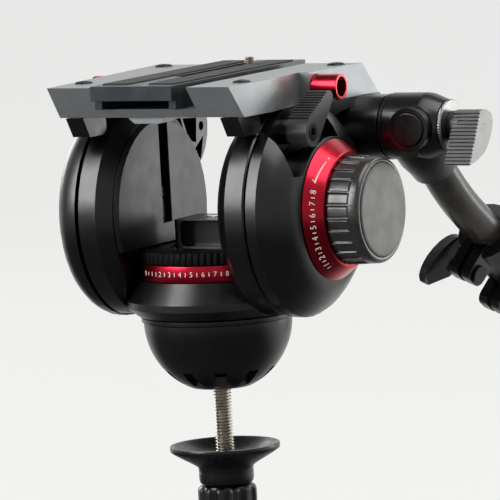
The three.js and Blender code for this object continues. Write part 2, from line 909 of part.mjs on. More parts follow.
// A box with eight given corners: four below and four above, both anticlockwise from above
function eightCornered(below, above) {
  const geometry = new THREE.BufferGeometry();
  geometry.setAttribute('position', new THREE.Float32BufferAttribute([...below, ...above].flat(), 3));
  const faces = [0, 2, 1, 0, 3, 2, 4, 5, 6, 4, 6, 7];
  for (let k = 0; k < 4; k += 1) {
    const next = (k + 1) % 4;
    faces.push(k, next, next + 4, k, next + 4, k + 4);
  }
  geometry.setIndex(faces);
  return welded(geometry);
}

const screwPlaces = [
  [-frontScrewSide, frontScrewBack],
  [frontScrewSide, frontScrewBack],
  [-rearScrewSide, rearScrewBack],
  [rearScrewSide, rearScrewBack],
];

function screwHoles() {
  return screwPlaces.flatMap(([x, y]) => [
    moved(rod(armScrewRadius + seatGap, screwTipUp - seatGap, platformTop, 12, 'z'), x, y, 0),
    moved(
      rod(armScrewHeadRadius + seatGap, platformTop - armScrewSeatDepth, platformTop + overrun, coarseSides, 'z'),
      x,
      y,
      0,
    ),
  ]);
}

function platformBody() {
  const frontBottomSide = sideAtBottom(platformFrontBottom);
  const rearBottomSide = sideAtBottom(platformRearBottom);
  const frontTopSide = sideAtTop(platformFrontTop);
  const rearTopSide = sideAtTop(platformRearTop);
  const body = eightCornered(
    [
      [-frontBottomSide, platformFrontBottom, platformBottom],
      [frontBottomSide, platformFrontBottom, platformBottom],
      [rearBottomSide, platformRearBottom, platformBottom],
      [-rearBottomSide, platformRearBottom, platformBottom],
    ],
    [
      [-frontTopSide, platformFrontTop, platformTop],
      [frontTopSide, platformFrontTop, platformTop],
      [rearTopSide, platformRearTop, platformTop],
      [-rearTopSide, platformRearTop, platformTop],
    ],
  );
  const lipLeft = lipOffset - lipHalfWidth;
  const lipRight = lipOffset + lipHalfWidth;
  const lip = slab(polygon([
    [lipLeft, platformBottom],
    [lipLeft + lipSlope, platformBottom - lipHeight],
    [lipRight - lipSlope, platformBottom - lipHeight],
    [lipRight, platformBottom],
    [lipRight, platformBottom + overrun],
    [lipLeft, platformBottom + overrun],
  ]), 'y', lipFront, lipFront + lipLength);
  const farFront = platformFrontTop - overrun;
  const farRear = platformRearBottom + overrun;
  const channel = block(channelLeft, channelRight, farFront, farRear, channelFloor, platformTop + overrun);
  const sweep = rod(tiltSweepRadius, -armInner, armInner, finestSides, 'x');
  const side = platformHalfWidthRear + overrun;
  const scoopWall = sideAtBottom(scoopBack) - scoopDepth;
  const scoop = slab(polygon([
    [sideAtBottom(scoopFront), scoopFront],
    [scoopWall, scoopBack],
    [side, scoopBack],
    [side, scoopFront],
  ]), 'z', platformBottom - overrun, platformTop + overrun);
  const cleared = tubeRadius + seatGap;
  const rightRod = rod(jawRodRadius + seatGap, channelRight - overrun, tubeInnerEnd, coarseSides, 'x');
  const leftRod = mirrored(rod(safetyPinRadius + seatGap, -channelLeft - overrun, tubeInnerEnd, 12, 'x'));
  const tubeBore = rod(cleared, tubeInnerEnd - seatGap, side + overrun, coarseSides, 'x');
  const bores = [rightRod, leftRod, tubeBore, mirrored(tubeBore)];
  const crossBores = bores.map((bore) => moved(bore, 0, tubeBack, tubeUp));
  return cut(join(body, lip), channel, sweep, scoop, ...crossBores, ...screwHoles());
}

// Side view of an arm: the round cover, the slanting neck under the platform and the lobe behind
function armShape() {
  const frontAngle = Math.PI - 0.59;
  const rearAngle = 2 * Math.PI - 0.09;
  const lobeStart = -0.96;
  const lobeEnd = Math.asin((platformBottom - seatGap - lobeCentreUp) / lobeRadius);
  const shape = new THREE.Shape();
  shape.moveTo(armFrontTop, platformBottom - seatGap);
  shape.absarc(0, 0, uprightRadius - armWebInset, frontAngle, rearAngle, false);
  shape.absarc(lobeCentreBack, lobeCentreUp, lobeRadius, lobeStart, lobeEnd, false);
  return shape;
}

function crossSweep(inner, outer) {
  return rod(tiltSweepRadius, inner - overrun, outer, finestSides, 'x');
}

// What both arms share, for the +X side
function armBase(coverOutline) {
  const top = platformBottom - seatGap;
  const plate = slab(armShape(), 'x', armInner, armOuter, 8);
  const cover = turned(coverOutline, finestSides, 'x');
  const frontBlock = slab(polygon([
    [armFrontTop, top],
    [armFrontTop * 0.89, frontBlockBottom],
    [frontBlockBack, frontBlockBottom],
    [frontBlockBack, top],
  ]), 'x', frontBlockInner, armInner + seatGap);
  const lobe = slab(
    polygon(arcPoints(lobeRadius, -Math.PI, Math.PI, 24).slice(1).map(([u, v]) => [
      u + lobeCentreBack,
      Math.min(v + lobeCentreUp, top),
    ])),
    'x',
    lobeInner,
    armInner + seatGap,
  );
  const inboard = cut(join(frontBlock, lobe), crossSweep(frontBlockInner, armInner));
  const boss = moved(
    rod(handleBossRadius, armInner + overrun, handleBossEnd, smallSides, 'x'),
    0,
    lobeCentreBack,
    lobeCentreUp,
  );
  return join(plate, cover, inboard, boss);
}

function armBores(faceOfCover) {
  const reach = platformRearBottom + lobeRadius;
  const above = block(
    frontBlockInner - overrun,
    handleBossEnd + overrun,
    -reach,
    reach,
    platformBottom - seatGap,
    platformTop,
  );
  const wide = rod(coverBoreRadius, frontBlockInner, faceOfCover - coverWebThickness, smallSides, 'x');
  const narrow = rod(axleBore, frontBlockInner, faceOfCover + overrun, coarseSides, 'x');
  const clamp = moved(
    rod(clampBoltBore, armOuter, handleBossEnd + overrun, coarseSides, 'x'),
    0,
    lobeCentreBack,
    lobeCentreUp,
  );
  return [above, wide, narrow, clamp];
}

function rightArm() {
  const flareShares = [[0.27, 0.14], [0.53, 0.37], [0.79, 0.66]];
  const rim = uprightRadius - rightCoverFaceRadius;
  const depth = rightCoverFace - armOuter;
  const bell = [
    [0, armInner],
    [uprightRadius, armInner],
    [uprightRadius, armOuter],
    ...flareShares.map(([along, inward]) => [uprightRadius - rim * inward, armOuter + depth * along]),
    [rightCoverFaceRadius, rightCoverFace],
    [0, rightCoverFace],
  ];
  const top = platformBottom - seatGap;
  const rear = lobeCentreBack + handleBossRadius;
  const gussetShape = new THREE.Shape();
  gussetShape.moveTo(gussetFront, top);
  gussetShape.lineTo(gussetFront, gussetFrontUp);
  gussetShape.quadraticCurveTo((gussetFront + rear) / 3, gussetRearUp * 0.94, rear, gussetRearUp);
  gussetShape.lineTo(rear, top);
  const gusset = slab(gussetShape, 'x', armOuter - overrun, platformHalfWidthRear + overrun, 6);
  const far = platformHalfWidthRear + overrun + overrun;
  const trim = slab(polygon([
    [sideAtBottom(gussetFront), gussetFront - seatGap],
    [far, gussetFront - seatGap],
    [far, rear + seatGap],
    [sideAtBottom(rear), rear + seatGap],
  ]), 'z', 0, top + overrun);
  const recess = cut(
    block(
      leverRecessFace,
      rightCoverFace + overrun,
      leverRecessFront,
      leverRecessBack,
      leverRecessBottom,
      uprightRadius + overrun,
    ),
    rod(rightCoverFaceRadius + seatGap, armInner, rightCoverFace + overrun + overrun, middleSides, 'x'),
  );
  const barrel = moved(
    rod(tiltBarrelRadius, armOuter - overrun, tiltLeverInner - seatGap, coarseSides, 'x'),
    0,
    tiltLeverBack,
    tiltLeverUp,
  );
  const barrelBore = moved(
    rod(tiltLockSpindleRadius + seatGap, frontBlockInner, tiltLeverInner + overrun, coarseSides, 'x'),
    0,
    tiltLeverBack,
    tiltLeverUp,
  );
  const body = cut(armBase(bell), recess);
  return cut(join(body, cut(gusset, trim), barrel), barrelBore, ...armBores(rightCoverFace), ...screwHoles());
}

function leftArm() {
  const edgeShares = [[0.4, 0.2], [0.73, 0.52]];
  const rim = uprightRadius - leftCoverFaceRadius;
  const depth = leftCoverFace - leftCoverEdge;
  const dome = [
    [0, armInner],
    [uprightRadius, armInner],
    [uprightRadius, leftCoverEdge],
    ...edgeShares.map(([along, inward]) => [uprightRadius - rim * inward, leftCoverEdge + depth * along]),
    [leftCoverFaceRadius, leftCoverFace],
    [0, leftCoverFace],
  ];
  const pocketShares = [
    [[-0.05, 0.18], [0.54, 0.14], [0.48, -0.37], [0.19, -0.3]],
    [[0.8, -0.25], [0.38, -0.52], [0.64, -0.74]],
    [[-0.36, 0.2], [-0.12, 0.2], [0.05, -0.24], [-0.1, -0.2]],
  ];
  const pockets = pocketShares.map((corners) => slab(polygon(corners.map(([u, v]) => [
    lobeCentreBack + lobeRadius * u,
    lobeCentreUp + lobeRadius * v,
  ])), 'x', lobeInner - overrun, lobeInner + lobeCut));
  const holeRadius = lobeRadius / 10;
  const hole = moved(
    rod(holeRadius, lobeInner - overrun, lobeInner + lobeCut, 12, 'x'),
    0,
    lobeCentreBack + lobeRadius * 0.72,
    lobeCentreUp - lobeRadius * 0.05,
  );
  const body = cut(armBase(dome), ...pockets, hole, ...armBores(leftCoverFace), ...screwHoles());
  return mirrored(body);
}

addPart(tilt, 'platform', platformBody(), greyAnodised);
addPart(tilt, 'right_side_arm', rightArm(), satinBlack);
addPart(tilt, 'left_side_arm', leftArm(), satinBlack);

function armScrew() {
  const seat = platformTop - armScrewSeatDepth + seatGap;
  return turned([
    [0, screwTipUp],
    [armScrewRadius, screwTipUp],
    [armScrewRadius, seat],
    [armScrewHeadRadius, seat],
    [armScrewHeadRadius, seat + armScrewHeadHeight / 2],
    [armScrewHeadRadius * 0.7, seat + armScrewHeadHeight],
    [0, seat + armScrewHeadHeight],
  ], coarseSides, 'z');
}
screwPlaces.forEach(([x, y], index) => {
  addPart(tilt, `arm_screw_${index + 1}`, moved(armScrew(), x, y, 0), satinBlack);
});
addPart(tilt, 'tilt_axle_right', rod(tiltAxleRadius, bearingStart, rightCoverFace, coarseSides, 'x'), steel);
addPart(
  tilt,
  'tilt_axle_left',
  mirrored(rod(tiltAxleRadius, bearingStart, leftCoverFace, coarseSides, 'x')),
  steel,
);

// Camera plate, its pads and screw
function cameraPlate() {
  const top = block(plateLeft, plateRight, plateFront, plateRear, plateUnderside, plateTop);
  const footBottom = channelFloor + seatGap;
  const feet = [plateLeft, plateRight - plateFootWidth].map((x) => block(
    x,
    x + plateFootWidth,
    plateFront + plateFootSetback,
    plateRear - plateFootSetback,
    footBottom,
    plateUnderside + seatGap,
  ));
  const padFloor = plateTop - padSink;
  const padRecesses = padPlaces().map(([x0, x1, y0, y1]) => block(
    x0 - seatGap,
    x1 + seatGap,
    y0 - seatGap,
    y1 + seatGap,
    padFloor,
    plateTop + overrun,
  ));
  const slot = slab(roundedRectangle(
    plateMiddle - plateSlotWidth / 2,
    plateFront + plateSlotFrontInset,
    plateMiddle + plateSlotWidth / 2,
    plateRear - plateSlotRearInset,
    plateSlotWidth / 2,
  ), 'z', plateUnderside - overrun, plateTop + overrun, 6);
  return cut(join(top, ...feet), ...padRecesses, slot);
}

function padPlaces() {
  const front = plateFront + padEndInset;
  const rear = plateRear - padEndInset;
  const left = plateLeft + padInset;
  const right = plateRight - padInset;
  return [
    [left, left + padWidth, front, rear],
    [right - padWidth, right, front, rear],
  ];
}

addPart(tilt, 'camera_plate', cameraPlate(), satinBlack);
const padBottom = plateTop - padSink + seatGap;
['plate_pad_left', 'plate_pad_right'].forEach((name, index) => {
  const [x0, x1, y0, y1] = padPlaces()[index];
  addPart(tilt, name, block(x0, x1, y0, y1, padBottom, padBottom + padThickness), rubber);
});
const screwHeadTop = plateUnderside - seatGap;
addPart(tilt, 'camera_screw', moved(turned([
  [0, screwHeadTop - cameraScrewHeadHeight],
  [cameraScrewHeadRadius, screwHeadTop - cameraScrewHeadHeight],
  [cameraScrewHeadRadius, screwHeadTop],
  [cameraScrewRadius, screwHeadTop],
  [cameraScrewRadius, plateTop + cameraScrewProud],
  [0, plateTop + cameraScrewProud],
], coarseSides, 'z'), plateMiddle, cameraScrewBack, 0), steel);

// Jaw with its rod, the safety pin, and a red tube to pull on each
function jawWithRod() {
  const inner = plateRight + seatGap;
  const jaw = block(
    inner,
    inner + jawThickness,
    jawFront,
    jawFront + jawLength,
    channelFloor + seatGap,
    jawTop,
  );
  const bar = rod(jawRodRadius, inner + jawThickness / 2, tubeInnerEnd - seatGap, coarseSides, 'x');
  return join(jaw, moved(bar, 0, tubeBack, tubeUp));
}

const redTube = moved(turned([
  [0, tubeInnerEnd],
  [tubeRadius, tubeInnerEnd],
  [tubeRadius, tubeOuterEnd],
  [tubeRadius - tubeWall, tubeOuterEnd],
  [tubeRadius - tubeWall, tubeInnerEnd + tubeEndWall],
  [0, tubeInnerEnd + tubeEndWall],
], coarseSides, 'x'), 0, tubeBack, tubeUp);
addPart(tilt, 'plate_jaw', jawWithRod(), greyAnodised);
addPart(tilt, 'plate_release_tube', redTube, redAnodised);
const pinTip = -channelLeft + seatGap;
addPart(
  tilt,
  'safety_pin',
  moved(mirrored(rod(safetyPinRadius, pinTip, tubeInnerEnd - seatGap, 12, 'x')), 0, tubeBack, tubeUp),
  steel,
);
addPart(tilt, 'safety_release_tube', mirrored(redTube), redAnodised);

// Tilt drag: red scale ring, ribbed knob and its cap
const scaleRingStart = rightCoverFace + seatGap;
addPart(tilt, 'tilt_scale_ring', turned([
  [scaleRingBore, scaleRingStart],
  [scaleRingBaseRadius, scaleRingStart],
  [scaleRingTipRadius, scaleRingStart + scaleRingDepth],
  [scaleRingBore, scaleRingStart + scaleRingDepth],
], finestSides, 'x'), redAnodised);

function tiltDragKnob() {
  const seatRadius = tiltCapRadius + seatGap;
  const seat = tiltKnobEnd - tiltCapThickness;
  const taper = (tiltKnobBaseRadius - tiltKnobTipRadius) / tiltKnobDepth;
  const body = turned([
    [0, rightCoverFace + seatGap],
    [tiltKnobStemRadius, rightCoverFace + seatGap],
    [tiltKnobStemRadius, tiltKnobStart],
    [tiltKnobBaseRadius, tiltKnobStart],
    [tiltKnobTipRadius + taper * tiltKnobEdge, tiltKnobEnd - tiltKnobEdge],
    [tiltKnobTipRadius - tiltKnobEdge, tiltKnobEnd],
    [seatRadius, tiltKnobEnd],
    [seatRadius, seat],
    [0, seat],
  ], fineSides, 'x');
  const grooves = [];
  for (let k = 0; k < tiltKnobGrooves; k += 1) {
    const groove = block(
      tiltKnobStart - overrun,
      tiltKnobStart + tiltKnobGrooveLength,
      -tiltKnobGrooveWidth / 2,
      tiltKnobGrooveWidth / 2,
      tiltKnobBaseRadius - tiltKnobGrooveDepth,
      tiltKnobBaseRadius + overrun,
    );
    grooves.push(groove.rotateX((2 * Math.PI * k) / tiltKnobGrooves));
  }
  return cut(body, ...grooves);
}

addPart(tilt, 'tilt_drag_knob', tiltDragKnob(), rubber);
const tiltCapStart = tiltKnobEnd - tiltCapThickness + seatGap;
addPart(
  tilt,
  'tilt_knob_cap',
  rod(tiltCapRadius, tiltCapStart, tiltKnobEnd + tiltCapProud, middleSides, 'x'),
  capGrey,
);

// Tilt lock: ribbed lever, its screw and the spindle that presses on the upright
function tiltLockLever() {
  const tipBack = tiltLeverBack + tiltLeverReach * Math.cos(tiltLeverAngle);
  const tipUp = tiltLeverUp + tiltLeverReach * Math.sin(tiltLeverAngle);
  const blade = slab(
    leverShape(tiltLeverBack, tiltLeverUp, tiltLeverHubRadius, tipBack, tipUp, tiltLeverTipRadius),
    'x',
    tiltLeverInner,
    tiltLeverOuter,
    7,
  );
  const ribs = [];
  const lean = Math.asin((tiltLeverHubRadius - tiltLeverTipRadius) / tiltLeverReach);
  const edgeAngle = tiltLeverAngle - lean;
  const pitch = (tiltLeverReach * Math.cos(lean)) / tiltLeverRibs;
  for (let k = 0; k < tiltLeverRibs; k += 1) {
    const along = (k + 0.5) * pitch;
    const rib = block(
      tiltLeverInner,
      tiltLeverOuter,
      along - pitch / 4,
      along + pitch / 4,
      tiltLeverHubRadius - seatGap,
      tiltLeverHubRadius + tiltLeverRibHeight,
    );
    ribs.push(moved(rib.rotateX(edgeAngle), 0, tiltLeverBack, tiltLeverUp));
  }
  const place = (tool) => moved(tool, 0, tiltLeverBack, tiltLeverUp);
  const spindleSeat = rod(
    tiltLockSpindleRadius + seatGap,
    tiltLeverInner - overrun,
    tiltLeverOuter - tiltLockScrewHeight - overrun,
    coarseSides,
    'x',
  );
  const screwSeat = rod(
    tiltLockScrewRadius + seatGap,
    tiltLeverOuter - tiltLockScrewHeight,
    tiltLeverOuter + overrun,
    coarseSides,
    'x',
  );
  return cut(join(blade, ...ribs), place(spindleSeat), place(screwSeat));
}

const screwStart = tiltLeverOuter - tiltLockScrewHeight + seatGap;
const screwEnd = tiltLeverOuter + seatGap;
const hexKey = slab(
  polygon(arcPoints(hexKeyRadius, 0, 2 * Math.PI, 6).slice(1)),
  'x',
  screwEnd - hexKeyDepth,
  screwEnd + overrun,
);
addPart(tilt, 'tilt_lock_lever', tiltLockLever(), leverGrey);
addPart(
  tilt,
  'tilt_lock_screw',
  moved(cut(rod(tiltLockScrewRadius, screwStart, screwEnd, coarseSides, 'x'), hexKey), 0, tiltLeverBack, tiltLeverUp),
  steel,
);
const lockSpindleEnd = tiltLeverOuter - tiltLockScrewHeight - overrun - seatGap;
addPart(
  tilt,
  'tilt_lock_spindle',
  moved(
    rod(tiltLockSpindleRadius, uprightOuter + seatGap, lockSpindleEnd, coarseSides, 'x'),
    0,
    tiltLeverBack,
    tiltLeverUp,
  ),
  steel,
);

// Counterbalance dial on the other side, a little below the tilt axis
const dialStart = leftCoverFace + seatGap;
const dialOutline = notchedShape(dialRadius, dialFluteDepth, dialFlutes, 0.62);
addPart(
  tilt,
  'counterbalance_dial',
  mirrored(moved(slab(dialOutline, 'x', dialStart, dialStart + dialThickness), 0, 0, -dialDrop)),
  rubber,
);

// Handle joint: everything in this group swings about its X axis
const swing = new THREE.Group();
swing.position.set(0, lobeCentreBack, lobeCentreUp);
tilt.add(swing);

const rosette = ring(
  rosetteInnerRadius,
  rosetteOuterRadius,
  rosetteStart,
  rosetteStart + rosetteThickness,
  smallSides,
  'x',
);
addPart(swing, 'rosette_right', rosette, steel);
addPart(swing, 'rosette_left', mirrored(rosette), steel);

// The upper tube bends through an arc and then runs straight
const bendStart = new THREE.Vector2(handleStartBack, -handleStartDrop);
const bendEnd = new THREE.Vector2(handleBendBack, -handleBendDrop);
const chord = bendEnd.clone().sub(bendStart);
const chordSlope = Math.atan2(-chord.y, chord.x);
const bendHalfAngle = chordSlope - handleEndAngle;
const bendRadius = chord.length() / (2 * Math.sin(bendHalfAngle));
const startSlope = chordSlope + bendHalfAngle;

class HandlePath extends THREE.Curve {
  getPoint(t) {
    const arcLength = 2 * bendHalfAngle * bendRadius;
    const travelled = t * (arcLength + handleTailLength);
    if (travelled > arcLength) {
      const rest = travelled - arcLength;
      return new THREE.Vector3(
        handleSide,
        bendEnd.x + rest * Math.cos(handleEndAngle),
        bendEnd.y - rest * Math.sin(handleEndAngle),
      );
    }
    const turnedBy = travelled / bendRadius;
    const slope = startSlope - turnedBy;
    return new THREE.Vector3(
      handleSide,
      bendStart.x + bendRadius * (Math.sin(startSlope) - Math.sin(slope)),
      bendStart.y - bendRadius * (Math.cos(slope) - Math.cos(startSlope)),
    );
  }
}

function sweptHandle(section) {
  return welded(new THREE.ExtrudeGeometry(section, {
    steps: 12,
    curveSegments: 8,
    bevelEnabled: false,
    extrudePath: new HandlePath(),
  }));
}

function handleArm() {
  const section = new THREE.Shape();
  section.absarc(0, 0, handleRadius, 0, 2 * Math.PI, false);
  const bore = new THREE.Path();
  bore.absarc(0, 0, handleRadius - handleWall, 0, 2 * Math.PI, true);
  section.holes.push(bore);
  return sweptHandle(section);
}

// The space that the bent tube needs, cut from whatever holds it
function handleArmSpace() {
  const section = new THREE.Shape();
  section.absarc(0, 0, handleRadius + seatGap, 0, 2 * Math.PI, false);
  return sweptHandle(section);
}

// A straight tool laid along the start of the handle, from the swing axis outwards
function alongSocket(geometry) {
  return geometry.clone().rotateX(-startSlope).translate(handleSide, bendStart.x, bendStart.y);
}

// The dome that the bent tube runs into, grown on all sides where it serves as a cutting tool
function headDome(grow) {
  const bulgeShares = [[0.3, 0.96], [0.6, 0.68], [0.83, 0.24]];
  const narrowing = headDomeRadius - headDomeEndRadius;
  const dome = turned([
    [0, -grow],
    [headDomeRadius + grow, -grow],
    ...bulgeShares.map(([along, out]) => [
      headDomeEndRadius + grow + narrowing * out,
      headDomeLength * along,
    ]),
    [headDomeEndRadius + grow, headDomeLength + grow],
    [0, headDomeLength + grow],
  ], smallSides, 'y');
  return dome.rotateX(-startSlope).translate(headDomeSide, 0, 0);
}

function handleHead() {
  const hub = rod(headRadius, headStart, headEnd, smallSides, 'x');
  const plugBoss = moved(
    rod(headPlugBossRadius, -headPlugBossFront, 0, smallSides, 'y'),
    headPlugSide,
    0,
    0,
  );
  const reach = headStart - headDomeRadius;
  const far = headStart + headRadius + headRadius;
  const boltBore = rod(clampBoltBore, reach, far + far, coarseSides, 'x');
  const tubeRoom = alongSocket(rod(handleRadius + seatGap, -seatGap, seatGap, smallSides, 'y'));
  const plugSeat = moved(
    rod(headPlugRadius + seatGap, -headPlugBossFront - overrun, headPlugSeatDepth - headPlugBossFront, smallSides, 'y'),
    headPlugSide,
    0,
    0,
  );
  const beyond = block(reach, headStart, -far, far, -far, far);
  return cut(join(hub, headDome(0), plugBoss), boltBore, tubeRoom, handleArmSpace(), plugSeat, beyond);
}

function handleHeadCover() {
  const body = turned([
    [clampBoltBore, headCoverStart],
    [headRadius, headCoverStart],
    [headRadius * 0.97, headCoverStart + headCoverLength * 0.25],
    [headCoverTipRadius, headCoverEnd],
    [clampBoltBore, headCoverEnd],
  ], smallSides, 'x');
  const far = headRadius + headRadius;
  const plugTool = moved(
    rod(headPlugBossRadius + seatGap, -far, seatGap, smallSides, 'y'),
    headPlugSide,
    0,
    0,
  );
  return cut(body, headDome(seatGap), plugTool);
}

const handleGroup = new THREE.Group();
swing.add(handleGroup);
addPart(handleGroup, 'handle_head', handleHead(), satinBlack);
addPart(handleGroup, 'handle_head_cover', handleHeadCover(), satinBlack);
addPart(handleGroup, 'handle_arm', handleArm(), satinBlack);
const plugFront = -headPlugBossFront - headPlugProud;
addPart(
  handleGroup,
  'handle_head_plug',
  moved(
    rod(headPlugRadius, plugFront, headPlugSeatDepth - headPlugBossFront - seatGap, smallSides, 'y'),
    headPlugSide,
    0,
    0,
  ),
  satinBlack,
);
addPart(
  handleGroup,
  'clamp_rosette',
  ring(
    clampBoltBore,
    clampRosetteRadius,
    clampRosetteStart,
    clampRosetteStart + clampRosetteThickness,
    smallSides,
    'x',
  ),
  steel,
);

// Clamp lever: a round back and a straight ribbed front. Its bolt turns in the right arm's boss.
const clampLeverShares = [
  [-0.19, 0.43], [0.04, 0.45], [0.26, 0.39], [0.46, 0.25], [0.48, -0.04],
  [0.29, -0.35], [0.1, -0.58], [-0.15, -0.75], [-0.46, -0.87], [-0.99, -1],
];

function clampLever() {
  const hub = rod(clampHubRadius, clampHubStart, clampLeverStart + overrun, coarseSides, 'x');
  const corners = clampLeverShares.map(([back, up]) => new THREE.Vector2(
    back * clampLeverDrop,
    up * clampLeverDrop,
  ));
  const outline = new THREE.Shape(new THREE.SplineCurve(corners).getPoints(20));
  const blade = slab(outline, 'x', clampLeverStart, clampLeverStart + clampLeverWidth);
  const edge = corners.at(-1).clone().sub(corners[0]);
  const edgeLength = edge.length();
  const toEdge = Math.abs(corners[0].cross(edge)) / edgeLength;
  const edgeStart = corners[0].dot(edge) / edgeLength;
  const pitch = edgeLength / clampLeverRibs;
  const ribs = [];
  for (let k = 0; k < clampLeverRibs; k += 1) {
    const along = edgeStart + (k + 0.5) * pitch;
    const rib = block(
      clampLeverStart,
      clampLeverStart + clampLeverWidth,
      along - pitch / 4,
      along + pitch / 4,
      -toEdge - clampLeverRibHeight,
      seatGap - toEdge,
    );
    ribs.push(rib.rotateX(Math.atan2(edge.y, edge.x)));
  }
  const boltSeat = rod(clampBoltBore, clampHubStart - overrun, clampLeverStart + overrun, coarseSides, 'x');
  return cut(join(hub, blade, ...ribs), boltSeat);
}

addPart(swing, 'handle_clamp_lever', clampLever(), leverGrey);
addPart(
  swing,
  'handle_clamp_bolt',
  rod(clampBoltRadius, armOuter + seatGap, clampLeverStart + overrun - seatGap, coarseSides, 'x'),
  steel,
);

// Lower tube with collar and grip: local +Y runs down the straight part of the handle
const tail = new THREE.Group();
tail.position.set(handleSide, bendEnd.x, bendEnd.y);
tail.rotation.x = -handleEndAngle;
handleGroup.add(tail);
const slideBore = handleRadius + seatGap;
const lowerTubeEnd = lowerTubeStart + lowerTubeLength;
addPart(
  tail,
  'handle_tube',
  ring(slideBore, lowerTubeRadius, lowerTubeStart, lowerTubeEnd, coarseSides, 'y'),
  satinBlack,
);
const gripEnd = lowerTubeEnd - gripTailInset;
addPart(
  tail,
  'handle_grip',
  ring(lowerTubeRadius + seatGap, gripRadius, lowerTubeStart + gripSetback, gripEnd, coarseSides, 'y'),
  rubber,
);
addPart(tail, 'handle_end_cap', turned([
  [0, lowerTubeEnd - endCapPlugDepth],
  [slideBore - seatGap, lowerTubeEnd - endCapPlugDepth],
  [slideBore - seatGap, lowerTubeEnd + seatGap],
  [endCapRadius, lowerTubeEnd + seatGap],
  [endCapRadius, lowerTubeEnd + endCapLength / 2],
  [endCapRadius * 0.8, lowerTubeEnd + endCapLength],
  [0, lowerTubeEnd + endCapLength],
], coarseSides, 'y'), rubber);

// Collar: a split sleeve with two pairs of lugs. Local -Z points from the tube to its bolt.
const collarGroup = new THREE.Group();
collarGroup.rotation.y = collarRollAngle;
tail.add(collarGroup);

function handleCollar() {
  const bore = lowerTubeRadius + seatGap;
  const end = collarStart + collarLength;
  const sleeve = ring(slideBore, collarRadius, collarStart, end, smallSides, 'y');
  const lugs = [collarLugStart, collarRearLugStart].map((start) => slab(roundedRectangle(
    collarStart + start,
    -collarLugDrop,
    collarStart + start + collarLugLength,
    0,
    collarBarrelRadius,
  ), 'x', -collarLugHalfWidth, collarLugHalfWidth, 3));
  const tubeSpace = rod(bore, lowerTubeStart - seatGap, end + overrun, smallSides, 'y');
  const front = collarStart + Math.min(0, collarLugStart) - overrun;
  const frontBore = rod(slideBore, front, end, smallSides, 'y');
  const slot = block(
    -collarSlot / 2,
    collarSlot / 2,
    front,
    end + overrun,
    -collarLugDrop - overrun,
    0,
  );
  const holes = [collarLugStart, collarRearLugStart].map((start) => moved(
    rod(collarBoltRadius + seatGap, -collarRadius, collarRadius, coarseSides, 'x'),
    0,
    collarStart + start + collarLugLength / 2,
    -collarBoltDrop,
  ));
  return cut(join(sleeve, ...lugs), tubeSpace, frontBore, slot, ...holes);
}

// The bolt has a round head, and a knob with two wings on its other end
const collarBoltAlong = collarStart + collarLugStart + collarLugLength / 2;
const collarHeadStart = collarLugHalfWidth + seatGap;
function collarBolt() {
  const headEndX = collarHeadStart + collarBarrelLength;
  const tip = -collarLugHalfWidth - collarBoltGrip;
  return turned([
    [0, tip],
    [collarBoltRadius, tip],
    [collarBoltRadius, collarHeadStart],
    [collarBarrelRadius, collarHeadStart],
    [collarBarrelRadius, headEndX],
    [0, headEndX],
  ], coarseSides, 'x');
}

function collarKnob() {
  const start = -collarLugHalfWidth - seatGap;
  const neckEnd = start - collarKnobNeckLength;
  const wingStart = neckEnd - collarKnobRise;
  const wingEnd = wingStart - collarKnobWingThickness;
  const wingRoot = wingStart - seatGap;
  const gussetTip = collarKnobWing * 0.91;
  const neck = rod(collarKnobNeckRadius, neckEnd - seatGap, start, coarseSides, 'x');
  const gusset = slab(polygon([
    [neckEnd, -collarKnobNeckRadius],
    [neckEnd, collarKnobNeckRadius],
    [wingRoot, gussetTip],
    [wingRoot, -gussetTip],
  ]), 'y', -collarKnobGusset / 2, collarKnobGusset / 2);
  const wingShape = new THREE.Shape();
  wingShape.absellipse(0, 0, collarKnobWingWidth / 2, collarKnobWing, 0, 2 * Math.PI);
  const crownEnd = wingEnd - collarKnobCrown;
  const crownPoints = arcPoints(1, -Math.PI / 2, Math.PI / 2, 8).map(([out, along]) => [
    wingEnd - collarKnobCrown * out,
    collarKnobWing * along,
  ]);
  const crown = slab(polygon([
    [wingStart, -collarKnobWing],
    ...crownPoints,
    [wingStart, collarKnobWing],
  ]), 'y', -collarKnobWingWidth, collarKnobWingWidth);
  const wing = common(slab(wingShape, 'x', crownEnd, wingStart, 10), crown);
  const boltEnd = -collarLugHalfWidth - collarBoltGrip - seatGap;
  const bore = rod(collarBoltRadius + seatGap, boltEnd, start + overrun, coarseSides, 'x');
  return cut(join(neck, gusset, wing), bore).rotateX(collarKnobTurnAngle);
}

addPart(collarGroup, 'handle_collar', handleCollar(), satinBlack);
addPart(collarGroup, 'collar_bolt', moved(collarBolt(), 0, collarBoltAlong, -collarBoltDrop), steel);
addPart(collarGroup, 'collar_knob', moved(collarKnob(), 0, collarBoltAlong, -collarBoltDrop), rubber);

export default head;
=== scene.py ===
# %% [markdown]
# A fluid video head on its levelling half ball.
# Blender gives the CAD solids their looks: lights, a camera, finishes and the fine detail of threads,
# ribs, screws and scales. The solids stay where they are, so everything here is in metres in their frame.

# %% Load the solids
from math import asin, atan2, cos, hypot, pi, radians, sin

import bmesh
import bpy
from mathutils import Matrix, Vector


